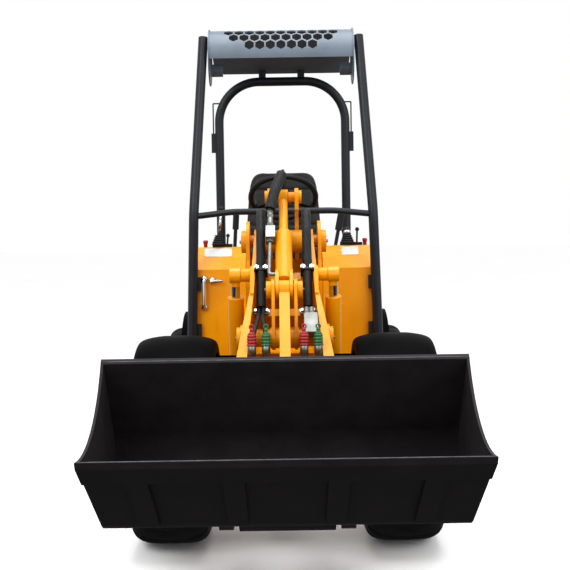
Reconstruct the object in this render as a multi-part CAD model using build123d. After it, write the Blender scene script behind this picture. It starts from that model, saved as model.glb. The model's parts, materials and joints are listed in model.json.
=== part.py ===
from build123d import *
import math
import os

# Articulated loader with a bucket, a self-levelling lift arm and an open operator's place under a guard hoop.
# Millimetres. X to the machine's left-hand bucket end as seen from the front, forward is -Y, Z up.
# Places are given as forward distances u from the articulation pivot, heights z and side distances x.

# Overall layout
REACH_REAR = 1365.0         # pivot to the tow jaw's end
PIVOT_TO_AXLE = 750.0
RUN = 0.05                  # radial running clearance of pins
NEAR = 0.3                  # gap between faces that seat on each other
SIDES = (-1, 1)

# Wheels
TYRE_R = 390.0
TYRE_W = 328.0
WHEEL_X = 485.0
BEAD_R = 190.0
RIM_W = 264.0
RIM_WALL = 9.0
DISC_T = 12.0
DISC_OUT = 22.0             # wheel disc's outer face, out from the wheel's middle
HUB_R = 60.0
HUB_OUT = 18.0              # how far the hub shows outside the wheel disc

# Axles
AXLE_TUBE_R = 52.0
AXLE_PAD_Z = TYRE_R + 75    # frame seat on top of the axle housing
AXLE_PAD_X = 140.0
AXLE_PAD_HALF = 70.0        # the pad's half length
HOUSING_R = 118.0
FLANGE_R = 95.0

# Frames
PLATE = 16.0
REAR_SIDE_X = 186.0         # outer face of the rear frame's side plates
REAR_TOP_Z = AXLE_PAD_Z + 175
REAR_END_U = -1250.0
TOWER_X = 157.0             # inner face of the front tower's side plates
TOWER_REAR_U = 70.0
TOWER_NOSE_U = 640.0
NOSE_U = 815.0              # end of the narrow seat on the front axle
HINGE_BARREL_R = 58.0
HINGE_PIN_R = 26.0
HINGE_LOW_Z = AXLE_PAD_Z + 35
HINGE_HIGH_Z = HINGE_LOW_Z + 190
HINGE_LUG_T = 26.0
FRONT_WALL_U = -150.0       # rear frame's front cross wall

# Lift arm and its linkage, in (u, z)
ARM_PIVOT = (250.0, 1265.0)
BUCKET_CORNER = (1440.0, 185.0)
BUCKET_ROLL = 34.5          # how far the bucket is rolled back
HINGE_BEHIND = 110.0        # bucket hinge, behind the bucket's virtual heel corner
HINGE_ABOVE = 150.0         # and above its floor
LEVER_ALONG = 580.0         # lever pivot's distance along the arm
LEVER_LENGTH = 210.0
LEVER_ANGLE = 100.0
LIFT_LOW = (300.0, AXLE_PAD_Z + 15)  # lift cylinder's foot on the front frame
LIFT_HIGH = (480.0, 1120.0)  # and its eye on the arm
LIFT_X = 220.0
ARM_PIN_R = 30.0
ARM_TUBE_R = 52.0
HINGE_SHAFT_R = 38.0        # bucket hinge shaft
LEVER_SHAFT_R = 38.0
LEVER_HUB_R = 45.0
LEVER_BOSS = 10.0           # how far the arm's boss stands out at the lever shaft
TILT_PIN_R = 26.0
TILT_HEADS_R = 38.0
TILT_EYE_R = 42.0
LINK_PIN_R = 18.0
LINK_HALF = 22.0            # half width of the link bar
LINK_DEPTH = 48.0
CHEEK_IN = 54.0             # tilt bracket's inner faces
CHEEK_OUT = 72.0
LIFT_BARREL_R = 36.0
LIFT_ROD_R = 20.0
TILT_BARREL_R = 38.0
TILT_ROD_R = 20.0
TILT_HEAD = 345.0           # lever pin to the tilt barrel's head
# One arm's sections: share of its length, inner face, outer face, depth
ARM_STATIONS = ((0.0, 120, 136, 105), (0.25, 134, 151, 140), (0.4, 150, 182, 150), (0.6, 168, 221, 145),
                (1.0, 204, 260, 115))
# Cross plates between the arms: distance along, width, top face above the middle line, half length
ARM_PLATES = ((400, 40, -18, 148), (760, 60, 0, 185))
SLEEVE_R = 21.0             # woven sleeves round the arm's hoses
SLEEVE_X = 104.0
HOSE_R = 9.0
CLAMP_T = 12.0
TILT_SLEEVE_R = 25.0

# Steering cylinder, in (u, x)
STEER_REAR = (-330.0, 105.0)
STEER_FRONT = (235.0, 105.0)
STEER_Z = AXLE_PAD_Z - 30
STEER_EYE = 48.0            # height of the cylinder's eyes
STEER_PIN_R = 14.0
STEER_ROD_R = 14.0

# Bucket
BUCKET_HALF = 655.0
BUCKET_FLOOR = 767.0
BUCKET_LIP = (461.0, 509.0)
BUCKET_BACK_R = 200.0
BUCKET_T = 8.0
CHEEK_T = 10.0

# Ends of the machine, which place the pivot so that the origin is midway
REACH_FRONT = BUCKET_CORNER[0] + BUCKET_FLOOR * math.cos(math.radians(BUCKET_ROLL))
PIVOT_Y = (REACH_FRONT - REACH_REAR) / 2

# Operator's place
POD_IN = 200.0
POD_OUT = 470.0
POD_FRONT_U = -275.0
POD_REAR_U = -985.0
POD_TOP_Z = 1120.0
CONSOLE_Z = 1230.0
PANEL_TOP_Z = 1118.0
POD_LOW_Z = AXLE_PAD_Z + 15
POD_WALL = 8.0
ARCH_IN = 310.0             # inner side of the wheel arch
ARCH_R = TYRE_R + 42
FLOOR_T = 12.0
SEAT_BOX_U = -560.0
SEAT_BOX_Z = 1085.0
SEAT_RAIL_Z = 1126.0
SEAT_TOP_Z = 1226.0
SEAT_HALF = 225.0
SEAT_LEAN = 8.0             # degrees
POST_R = 25.0
HOOP_U = -960.0
HOOP_X = 360.0
HOOP_TOP_Z = 2160.0
HOOP_BEND = 230.0
ROOF_X = 382.0
ROOF_T = 6.0
ROOF_TOP_Z = 2375.0
ROOF_FRONT_U = -395.0
ROOF_REAR_U = -1000.0
ROOF_NOSE_R = 140.0
ROOF_SLOPE = 20.0           # degrees
HEX_R = 27.0                # roof holes, centre to corner
HEX_PITCH = 55.0
# Rows of roof holes: angle round the nose from straight forward, number
HEX_ROWS = ((20.0, 7), (39.5, 10), (59.0, 11), (78.5, 10))
HOOD_X = 315.0
HOOD_HINGE = (-1000.0, 1100.0)
HOOD_REAR_U = 60 - REACH_REAR  # leaves room to drop the tow pin
HOOD_T = 6.0
ENGINE_LOW_Z = AXLE_PAD_Z + 30
ENGINE_MOUNTS = (-1190.0, -1045.0)
TOW_U = REACH_REAR - 30     # tow pin's distance behind the pivot
TOW_PIN_R = 13.0
TOW_LOW_Z = AXLE_PAD_Z + 5
TOW_HIGH_Z = TOW_LOW_Z + 88
TOW_EAR_T = 18.0
WEIGHT_REAR_U = 55 - REACH_REAR
STANDING = (Align.CENTER, Align.CENTER, Align.MIN)
HANGING = (Align.CENTER, Align.CENTER, Align.MAX)


def at(u, z, x=0.0):
    """Point at a forward distance u from the pivot, height z and side distance x."""
    return Vector(x, PIVOT_Y - u, z)


def polar(length, angle):
    """Offset of that length at that angle from straight forward, in the side view."""
    return (length * math.cos(math.radians(angle)), length * math.sin(math.radians(angle)))


def plus(a, b, k=1.0):
    """Point a moved by k times b, in the side view."""
    return (a[0] + k * b[0], a[1] + k * b[1])


SIDE = Plane(origin=(0, PIVOT_Y, 0), x_dir=(0, -1, 0), z_dir=(-1, 0, 0))


def slab(sketch, x0, x1):
    """Side-view sketch as a plate that spans x0 to x1."""
    return Pos((x0 + x1) / 2, 0, 0) * extrude(SIDE * sketch, abs(x1 - x0) / 2, both=True)


def outline(points):
    """Closed straight-sided outline in the side view."""
    return make_face(Polyline(*points, close=True))


def strap(a, b, ra, rb):
    """Flat bar outline with round ends of radius ra about a and rb about b."""
    disc_a = Pos(*a) * Circle(ra)
    disc_b = Pos(*b) * Circle(rb)
    return make_hull((disc_a + disc_b).edges())


def cross_pin(centre, radius, x0, x1):
    """Round bar along X about a point of the side view."""
    return Pos(*at(*centre, (x0 + x1) / 2)) * Rot(0, 90, 0) * Cylinder(radius, abs(x1 - x0))


def block(u0, u1, z0, z1, x0, x1):
    """Box between two forward distances, two heights and two side distances."""
    middle = at((u0 + u1) / 2, (z0 + z1) / 2, (x0 + x1) / 2)
    return Pos(*middle) * Box(abs(x1 - x0), abs(u1 - u0), abs(z1 - z0))


def rod(a, b, radius):
    """Round bar between two points in space."""
    line = Line(a, b)
    return sweep((line ^ 0) * Circle(radius), path=line)


def bent_tube(points, radius, bends):
    """Round bar along straight runs with rounded corners."""
    path = FilletPolyline(*points, radius=bends)
    return sweep((path ^ 0) * Circle(radius), path=path)


def both_sides(solid):
    """The solid and its mirror image across the machine's middle."""
    return solid + mirror(solid, Plane.YZ)


def turned(point, about, angle):
    """Side-view point turned about another by an angle in degrees."""
    c, s = math.cos(math.radians(angle)), math.sin(math.radians(angle))
    du, dz = point[0] - about[0], point[1] - about[1]
    return (about[0] + c * du - s * dz, about[1] + s * du + c * dz)


def bucket_point(forward, up):
    """Point given in the level bucket's own view, measured from its virtual heel corner."""
    return turned(plus(BUCKET_CORNER, (forward, up)), BUCKET_CORNER, BUCKET_ROLL)


# Pin places that follow from the layout
BUCKET_HINGE = bucket_point(-HINGE_BEHIND, HINGE_ABOVE)
ARM_RUN = (BUCKET_HINGE[0] - ARM_PIVOT[0], BUCKET_HINGE[1] - ARM_PIVOT[1])
ARM_LENGTH = math.hypot(*ARM_RUN)
ARM_ANGLE = math.degrees(math.atan2(ARM_RUN[1], ARM_RUN[0]))
LEVER_PIVOT = plus(ARM_PIVOT, polar(LEVER_ALONG, ARM_ANGLE))
LEVER_REACH = polar(LEVER_LENGTH, LEVER_ANGLE)
TILT_TOP = plus(ARM_PIVOT, LEVER_REACH)
TILT_PIN = plus(LEVER_PIVOT, LEVER_REACH)
LINK_END = plus(BUCKET_HINGE, LEVER_REACH)


def arm_point(along, above=0.0):
    """Point along the arm from its pivot, and above its middle line, in the side view."""
    base = plus(ARM_PIVOT, polar(along, ARM_ANGLE))
    return plus(base, polar(above, ARM_ANGLE + 90))


def tyre():
    """Tyre with a flat crown and bulged side walls, turned about the axle."""
    half = TYRE_W / 2
    seat = RIM_W / 2 - RIM_WALL - NEAR
    wall = Polyline((BEAD_R + NEAR, seat), (BEAD_R + 20, seat))
    bulge = ThreePointArc((BEAD_R + 20, seat), (BEAD_R + 100, half), (TYRE_R - 34, half - 14))
    shoulder = ThreePointArc((TYRE_R - 34, half - 14), (TYRE_R - 10, half - 24), (TYRE_R, half - 48))
    upper = Wire(wall.edges() + bulge.edges() + shoulder.edges())
    lower = mirror(upper, Plane.XZ)
    crown = Line((TYRE_R, half - 48), (TYRE_R, 48 - half))
    bore = Line((BEAD_R + NEAR, -seat), (BEAD_R + NEAR, seat))
    section = make_face(upper.edges() + lower.edges() + [crown.edge(), bore.edge()])
    return revolve(section, Axis.Y)


def rim():
    """Rim barrel with two flanges and a dished disc that sits on the hub."""
    half = RIM_W / 2
    barrel = Polyline(
        (BEAD_R - RIM_WALL, -half), (BEAD_R + 16, -half), (BEAD_R + 16, RIM_WALL - half),
        (BEAD_R, RIM_WALL - half), (BEAD_R, half - RIM_WALL), (BEAD_R + 16, half - RIM_WALL),
        (BEAD_R + 16, half), (BEAD_R - RIM_WALL, half), (BEAD_R - RIM_WALL, DISC_OUT),
        (HUB_R + 70, DISC_OUT + 20), (HUB_R + 50, DISC_OUT), (HUB_R + RUN, DISC_OUT),
        (HUB_R + RUN, DISC_OUT - DISC_T), (HUB_R + 55, DISC_OUT - DISC_T),
        (HUB_R + 72, DISC_OUT + 6), (BEAD_R - RIM_WALL, DISC_OUT - DISC_T), close=True)
    return revolve(make_face(barrel), Axis.Y)


def wheel_place(solid, side, axle_u):
    """Wheel piece turned so that its outer face looks outward at one end of an axle."""
    return Pos(*at(axle_u, TYRE_R, side * WHEEL_X)) * Rot(0, 0, -90 * side) * solid


def axle(axle_u):
    """Axle tube with its middle housing, frame pad, hub flanges and wheel hubs."""
    flange_face = WHEEL_X + DISC_OUT - DISC_T - NEAR
    hub_end = WHEEL_X + DISC_OUT + HUB_OUT
    middle = (axle_u, TYRE_R)
    body = cross_pin(middle, AXLE_TUBE_R, -flange_face, flange_face)
    housing = cross_pin(middle, HOUSING_R, -95, 95)
    housing = fillet(housing.edges().filter_by(GeomType.CIRCLE), 30)
    above_pad = block(axle_u - 200, axle_u + 200, AXLE_PAD_Z, AXLE_PAD_Z + 100, -200, 200)
    body += housing - above_pad
    pad = (axle_u - AXLE_PAD_HALF, axle_u + AXLE_PAD_HALF)
    body += block(*pad, TYRE_R, AXLE_PAD_Z, -AXLE_PAD_X, AXLE_PAD_X)
    for side in SIDES:
        body += cross_pin(middle, FLANGE_R, side * (flange_face - 26), side * flange_face)
        body += cross_pin(middle, AXLE_TUBE_R + 22, side * (flange_face - 120), side * (flange_face - 20))
        body += cross_pin(middle, HUB_R, side * (flange_face - 5), side * hub_end)
    return body


def rear_chassis():
    """Rear frame: two side plates, cross walls and the forked articulation hinge with its pin."""
    inner = REAR_SIDE_X - PLATE
    side = outline([(FRONT_WALL_U, AXLE_PAD_Z), (FRONT_WALL_U, HINGE_HIGH_Z + 60),
                    (FRONT_WALL_U - 90, HINGE_HIGH_Z + 60), (FRONT_WALL_U - 130, REAR_TOP_Z),
                    (REAR_END_U, REAR_TOP_Z), (REAR_END_U, AXLE_PAD_Z)])
    body = both_sides(slab(side, inner, REAR_SIDE_X))
    wall_top = HINGE_HIGH_Z + 60
    body += block(FRONT_WALL_U - PLATE, FRONT_WALL_U, AXLE_PAD_Z, wall_top, -REAR_SIDE_X, REAR_SIDE_X)
    body += block(REAR_END_U, REAR_END_U + PLATE, AXLE_PAD_Z, REAR_TOP_Z, -inner, inner)
    pad = (-PIVOT_TO_AXLE - AXLE_PAD_HALF, -PIVOT_TO_AXLE + AXLE_PAD_HALF)
    body += block(*pad, AXLE_PAD_Z, AXLE_PAD_Z + PLATE, -inner, inner)
    for u in ENGINE_MOUNTS:
        body += block(u - 25, u + 25, ENGINE_LOW_Z - PLATE, ENGINE_LOW_Z, -inner, inner)
    nose = HINGE_BARREL_R + 4
    for z in (HINGE_LOW_Z - HINGE_LUG_T - 1, HINGE_HIGH_Z + 1):
        root = Pos(0, PIVOT_Y - FRONT_WALL_U + PLATE / 2) * Rectangle(2 * inner - 60, PLATE)
        lug = make_hull((Pos(0, PIVOT_Y) * Circle(nose) + root).edges())
        body += Pos(0, 0, z) * extrude(lug, HINGE_LUG_T)
    pin_low = HINGE_LOW_Z - HINGE_LUG_T - 12
    pin_high = HINGE_HIGH_Z + HINGE_LUG_T + 12
    body += Pos(0, PIVOT_Y, pin_low) * Cylinder(HINGE_PIN_R, pin_high - pin_low, align=STANDING)
    body += block(STEER_REAR[0] - 40, STEER_REAR[0] + 40, AXLE_PAD_Z, AXLE_PAD_Z + PLATE, -inner, inner)
    under_eye = STEER_Z - STEER_EYE / 2 - 4
    pivot = Pos(*at(STEER_REAR[0], under_eye, STEER_REAR[1]))
    body += pivot * Cylinder(STEER_PIN_R, AXLE_PAD_Z + PLATE - under_eye, align=STANDING)
    body += pivot * Cylinder(STEER_PIN_R + 8, 8, align=HANGING)
    return body


def front_chassis():
    """Front frame: tower plates, cross plates, hinge barrel, arm pivot pin and tilt bracket."""
    outer = TOWER_X + PLATE
    rear = TOWER_REAR_U
    u, z = ARM_PIVOT
    tower = outline([(rear, AXLE_PAD_Z), (TOWER_NOSE_U, AXLE_PAD_Z), (TOWER_NOSE_U, AXLE_PAD_Z + 45),
                     (560, 560), (480, 760), (u + 95, z - 85), (u + 95, z), (u - 95, z), (u - 100, z - 85),
                     (rear + 25, 800), (rear, 720)])
    tower += Pos(*ARM_PIVOT) * Circle(95)
    body = both_sides(slab(tower, TOWER_X, outer))
    body += block(rear, rear + PLATE, AXLE_PAD_Z, 720, -TOWER_X, TOWER_X)
    body += block(rear, TOWER_NOSE_U, AXLE_PAD_Z, AXLE_PAD_Z + PLATE, -TOWER_X, TOWER_X)
    body += block(TOWER_NOSE_U - 1, NOSE_U, AXLE_PAD_Z, AXLE_PAD_Z + PLATE, -AXLE_PAD_X, AXLE_PAD_X)
    rib = outline([(560, AXLE_PAD_Z), (NOSE_U, AXLE_PAD_Z), (NOSE_U, AXLE_PAD_Z + 30),
                   (560, AXLE_PAD_Z + 70)])
    body += both_sides(slab(rib, AXLE_PAD_X - PLATE, AXLE_PAD_X))
    back = outline([(rear + 25, 800), (rear + 25 + PLATE, 800), (u - 100 + PLATE, z - 85), (u - 100, z - 85)])
    body += slab(back, -TOWER_X, TOWER_X)
    height = HINGE_HIGH_Z - HINGE_LOW_Z
    barrel = Pos(0, PIVOT_Y, HINGE_LOW_Z) * Cylinder(HINGE_BARREL_R, height, align=STANDING)
    body += barrel + block(0, rear + 5, HINGE_LOW_Z + 40, HINGE_HIGH_Z, -90, 90)
    body -= Pos(0, PIVOT_Y, 0) * Cylinder(HINGE_PIN_R + RUN, 2000)
    # Arm pivot pin with its round end bosses
    body += cross_pin(ARM_PIVOT, ARM_PIN_R, -outer - 26, outer + 26)
    body += both_sides(cross_pin(ARM_PIVOT, ARM_TUBE_R, outer, outer + 24))
    # Tilt bracket above the arm pivot
    top = TILT_TOP
    cheek = outline([(128, 1025), (160, z - 85), (170, top[1] - 60), (250, top[1] - 60), plus(top, (42, 0)),
                     plus(top, (-42, 0)), (110, z - 85), (90, 1025)])
    cheek += Pos(*top) * Circle(42)
    cheek -= Pos(*ARM_PIVOT) * Circle(ARM_TUBE_R + 18)
    body += both_sides(slab(cheek, CHEEK_IN, CHEEK_OUT))
    body += both_sides(cross_pin(top, 24, 24, CHEEK_OUT + 8) + cross_pin(top, 31, CHEEK_OUT, CHEEK_OUT + 14))
    body += block(112, 150, z - 135, z - 95, -TOWER_X, TOWER_X)
    # Lift cylinder feet
    for side in SIDES:
        foot = strap(LIFT_LOW, plus(LIFT_LOW, (40, 60)), 40, 50)
        body += slab(foot, side * outer, side * (LIFT_X - LIFT_BARREL_R - 4))
        body += cross_pin(LIFT_LOW, 18, side * outer, side * (LIFT_X + 34))
    # Steering cylinder's front lug
    under_eye = STEER_Z - STEER_EYE / 2 - 4
    u, x = STEER_FRONT
    body += block(u - 30, u + 110, under_eye - 12, under_eye, x - 30, x + 30)
    body += block(u + 90, u + 110, under_eye, AXLE_PAD_Z, x - 30, x + 30)
    return body


def lift_arms():
    """Two arms that spread and thicken towards the bucket, with their cross plates and bosses."""
    sections = []
    for share, inner, outer, depth in ARM_STATIONS:
        u, z = arm_point(share * ARM_LENGTH)
        along = polar(1.0, ARM_ANGLE)
        middle = at(u, z, (inner + outer) / 2)
        plane = Plane(origin=middle, x_dir=(1, 0, 0), z_dir=(0, -along[0], along[1]))
        sections.append(plane * Rectangle(outer - inner, depth))
    arm = loft(sections, ruled=True)
    pivot, bend, lever, end = (ARM_STATIONS[i] for i in (0, 1, 2, 4))
    arm += cross_pin(ARM_PIVOT, ARM_TUBE_R + 4, pivot[1], pivot[2])
    arm += cross_pin(BUCKET_HINGE, HINGE_SHAFT_R + 26, end[1], end[2])
    arm += cross_pin(LEVER_PIVOT, LEVER_SHAFT_R + 20, lever[1], lever[2] + LEVER_BOSS)
    ear = outline([arm_point(150), arm_point(430), arm_point(390, 80), plus(LIFT_HIGH, (30, 26)),
                   plus(LIFT_HIGH, (-34, 10))])
    ear += Pos(*LIFT_HIGH) * Circle(40)
    arm += slab(ear, bend[1], bend[2])
    arm += cross_pin(LIFT_HIGH, 30, bend[1], LIFT_X - 26)
    body = both_sides(arm)
    body += cross_pin(ARM_PIVOT, ARM_TUBE_R, -pivot[1] - 4, pivot[1] + 4)
    for along, width, above, half in ARM_PLATES:
        plate = outline([arm_point(along, above), arm_point(along + width, above),
                         arm_point(along + width, above - 18), arm_point(along, above - 18)])
        body += slab(plate, -half, half)
    body -= cross_pin(ARM_PIVOT, ARM_PIN_R + RUN, -400, 400)
    body -= cross_pin(LEVER_PIVOT, LEVER_SHAFT_R + RUN, -400, 400)
    body -= cross_pin(BUCKET_HINGE, HINGE_SHAFT_R + RUN, -400, 400)
    return body


def lift_barrels():
    """Pair of lift cylinder barrels on their feet."""
    direction = math.degrees(math.atan2(LIFT_HIGH[1] - LIFT_LOW[1], LIFT_HIGH[0] - LIFT_LOW[0]))
    body = None
    for side in SIDES:
        low = plus(LIFT_LOW, polar(40, direction))
        high = plus(LIFT_LOW, polar(560, direction))
        one = rod(at(*low, side * LIFT_X), at(*high, side * LIFT_X), LIFT_BARREL_R)
        one += cross_pin(LIFT_LOW, 42, side * (LIFT_X - 28), side * (LIFT_X + 28))
        one -= cross_pin(LIFT_LOW, 18 + RUN, side * (LIFT_X - 40), side * (LIFT_X + 40))
        bore_low = plus(LIFT_LOW, polar(110, direction))
        mouth = plus(high, polar(5, direction))
        one -= rod(at(*bore_low, side * LIFT_X), at(*mouth, side * LIFT_X), LIFT_ROD_R + RUN)
        body = one if body is None else body + one
    return body


def lift_rods():
    """Pair of lift cylinder rods with the eyes that carry the arm."""
    direction = math.degrees(math.atan2(LIFT_HIGH[1] - LIFT_LOW[1], LIFT_HIGH[0] - LIFT_LOW[0]))
    body = None
    for side in SIDES:
        low = plus(LIFT_LOW, polar(150, direction))
        neck = plus(LIFT_HIGH, polar(-20, direction))
        one = rod(at(*low, side * LIFT_X), at(*neck, side * LIFT_X), LIFT_ROD_R)
        one += cross_pin(LIFT_HIGH, 34, side * (LIFT_X - 24), side * (LIFT_X + 24))
        body = one if body is None else body + one
    return body


def lever_pin():
    """Cross shaft that carries the tilt lever between the arms."""
    outer = ARM_STATIONS[2][2] + LEVER_BOSS
    body = cross_pin(LEVER_PIVOT, LEVER_SHAFT_R, -outer - 2, outer + 2)
    return body + both_sides(cross_pin(LEVER_PIVOT, LEVER_SHAFT_R + 10, outer + 1, outer + 16))


def tilt_lever():
    """Two lever plates on a hub tube."""
    body = both_sides(slab(strap(LEVER_PIVOT, TILT_PIN, LEVER_HUB_R + 7, TILT_EYE_R + 4), 42, 56))
    body += cross_pin(LEVER_PIVOT, LEVER_HUB_R, -62, 62)
    body -= cross_pin(LEVER_PIVOT, LEVER_SHAFT_R + RUN, -200, 200)
    body -= cross_pin(TILT_PIN, TILT_PIN_R + RUN, -200, 200)
    return body


def tilt_pin():
    """Pin with round heads that joins lever, link and tilt cylinder."""
    return cross_pin(TILT_PIN, TILT_PIN_R, -78, 78) + both_sides(cross_pin(TILT_PIN, TILT_HEADS_R, 57, 79))


def tilt_barrel():
    """Tilt cylinder barrel with a forked foot and a rounded head."""
    back = math.degrees(math.atan2(TILT_TOP[1] - TILT_PIN[1], TILT_TOP[0] - TILT_PIN[0]))
    start = plus(TILT_PIN, polar(TILT_EYE_R + 6, back))
    head = plus(TILT_PIN, polar(TILT_HEAD, back))
    body = rod(at(*start), at(*head), TILT_BARREL_R)
    body = fillet(body.faces().sort_by(Axis.Y)[-1].edges(), 12)
    fork = strap(TILT_PIN, plus(TILT_PIN, polar(70, back)), TILT_EYE_R, TILT_EYE_R - 6)
    body += both_sides(slab(fork, LINK_HALF + 2, TILT_BARREL_R))
    body -= cross_pin(TILT_PIN, TILT_PIN_R + RUN, -100, 100)
    bore = plus(TILT_PIN, polar(TILT_EYE_R + 20, back))
    body -= rod(at(*bore), at(*plus(head, polar(5, back))), TILT_ROD_R + RUN)
    return body


def tilt_rod():
    """Tilt cylinder rod with its eye."""
    back = math.degrees(math.atan2(TILT_TOP[1] - TILT_PIN[1], TILT_TOP[0] - TILT_PIN[0]))
    inner = plus(TILT_PIN, polar(TILT_EYE_R + 58, back))
    body = rod(at(*inner), at(*plus(TILT_TOP, polar(-20, back))), TILT_ROD_R)
    return body + cross_pin(TILT_TOP, 36, -22, 22)


def tilt_link():
    """Slim link bar with two eyes, from the lever down to the coupler."""
    bar = strap(TILT_PIN, LINK_END, LINK_DEPTH / 2, LINK_DEPTH / 2)
    bar += Pos(*TILT_PIN) * Circle(TILT_EYE_R)
    bar += Pos(*LINK_END) * Circle(LINK_PIN_R + 14)
    body = slab(bar, -LINK_HALF, LINK_HALF)
    body -= cross_pin(TILT_PIN, TILT_PIN_R + RUN, -100, 100)
    body -= cross_pin(LINK_END, LINK_PIN_R + NEAR, -100, 100)
    return body


def hinge_pins():
    """Cross shaft on which the coupler turns between the arms' ends."""
    outer = ARM_STATIONS[4][2]
    shaft = cross_pin(BUCKET_HINGE, HINGE_SHAFT_R, -outer - 2, outer + 2)
    return shaft + both_sides(cross_pin(BUCKET_HINGE, HINGE_SHAFT_R + 12, outer + 1, outer + 14))


def bucket_outline(inset=0.0, overrun=0.0):
    """Bucket's side outline in its own level view, moved inward by inset and past its mouth by overrun."""
    radius = BUCKET_BACK_R
    centre = (radius, radius)
    to_lip = (BUCKET_LIP[0] - radius, BUCKET_LIP[1] - radius)
    gap = math.hypot(*to_lip)
    angle = math.degrees(math.atan2(to_lip[1], to_lip[0]) + math.acos(radius / gap))
    touch = plus(centre, polar(radius - inset, angle))
    wall = polar(math.sqrt(gap * gap - radius * radius) + overrun, angle - 90)
    lip = plus(touch, wall)
    floor_end = (BUCKET_FLOOR + overrun, inset)
    heel = (radius, inset)
    belly = plus(centre, polar(radius - inset, (angle - 90) / 2 + 180))
    edges = [Line(floor_end, heel), ThreePointArc(heel, belly, touch), Line(touch, lip)]
    if overrun:
        far = (BUCKET_FLOOR + overrun, lip[1] + overrun)
        edges += [Line(lip, far), Line(far, floor_end)]
    else:
        middle = ((lip[0] + floor_end[0]) / 2 - 70, (lip[1] + floor_end[1]) / 2 - 50)
        edges.append(ThreePointArc(lip, middle, floor_end))
    return make_face([e.edge() for e in edges])


def bucket_slab(sketch, x0, x1):
    """Plate of the bucket, drawn in its level view and rolled back into place."""
    placed = Pos(*BUCKET_CORNER) * Rot(0, 0, BUCKET_ROLL) * sketch
    return slab(placed, x0, x1)


def bucket():
    """Bucket shell with cheeks, lip rail, bevelled cutting edge and wear strips."""
    body = bucket_slab(bucket_outline(), -BUCKET_HALF, BUCKET_HALF)
    body -= bucket_slab(bucket_outline(BUCKET_T, 200), CHEEK_T - BUCKET_HALF, BUCKET_HALF - CHEEK_T)
    tip = BUCKET_FLOOR
    edge = outline([(tip - 150, -14), (tip - 150, 0), (tip - 130, 14), (tip - 40, 14), (tip, 0),
                    (tip - 24, -14)])
    body += bucket_slab(edge, -BUCKET_HALF, BUCKET_HALF)
    rail = outline([BUCKET_LIP, plus(BUCKET_LIP, (-46, -20)), plus(BUCKET_LIP, (-52, -6)),
                    plus(BUCKET_LIP, (-5, 14))])
    body += bucket_slab(rail, -BUCKET_HALF, BUCKET_HALF)
    strip = outline([(BUCKET_BACK_R, 0), (tip - 150, 0), (tip - 150, -14), (BUCKET_BACK_R + 20, -14)])
    for x in (-480, -170, 170, 480):
        body += bucket_slab(strip, x - 35, x + 35)
    return body


def quick_coupler():
    """Coupler of hinge plates and link plates on the bucket's back, with cross bars and link pin."""
    hinge = (-HINGE_BEHIND, HINGE_ABOVE)
    link = turned(plus(hinge, LEVER_REACH), hinge, -BUCKET_ROLL)
    plate = outline([plus(hinge, (-58, -30)), plus(hinge, (-58, 50)), (-60, 400), (40, 440), (150, 420),
                     (150, 60), (20, 60), plus(hinge, (-30, -58))])
    body = both_sides(bucket_slab(plate, 152, 180))
    corners = Pos(*link) * Circle(36) + Pos(70, 330) * Circle(60) + Pos(20, 180) * Circle(40)
    inner = make_hull(corners.edges())
    body += both_sides(bucket_slab(inner, LINK_HALF + 5, LINK_HALF + 23))
    upper = outline([(-58, 392), (-52, 412), (44, 452), (44, 432)])
    body += both_sides(bucket_slab(upper, LINK_HALF + 5, 180))
    brace = outline([(-20, 300), (-20, 320), (60, 320), (60, 300)])
    body += both_sides(bucket_slab(brace, LINK_HALF + 22, 180))
    body += bucket_slab(outline([(-60, 60), (-60, 90), (60, 90), (60, 60)]), -180, 180)
    pin = cross_pin(LINK_END, LINK_PIN_R, -LINK_HALF - 30, LINK_HALF + 30)
    filled = bucket_slab(bucket_outline(-NEAR, 0), -BUCKET_HALF - 1, BUCKET_HALF + 1)
    body = body - filled + pin
    body -= cross_pin(BUCKET_HINGE, HINGE_SHAFT_R + RUN, -400, 400)
    return body


def fender(axle_u, x0, x1, start, end):
    """Fender sheet bent round a wheel from one angle to another."""
    radius = TYRE_R + 56
    sheet = 6.0
    middle = (axle_u, TYRE_R + 30)
    ring = Pos(*middle) * (Circle(radius) - Circle(radius - sheet))
    far = 2 * radius
    wedge = outline([(0, 0), polar(far, start), polar(far, (start + end) / 2), polar(far, end)])
    return slab(ring & (Pos(*middle) * wedge), x0, x1)


def front_fenders():
    """Pair of front fenders on tubes from the front frame."""
    one = fender(PIVOT_TO_AXLE, 288, 622, 48, 140)
    stay = plus((PIVOT_TO_AXLE, TYRE_R + 30), polar(TYRE_R + 42, 132))
    one += cross_pin(stay, 18, TOWER_X + PLATE, 590)
    return both_sides(one)


def rear_fenders():
    """Pair of rear fenders that close the gap between pods and tyres."""
    return both_sides(fender(-PIVOT_TO_AXLE, POD_OUT + NEAR, POD_OUT + 85, 40, 150))


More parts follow.
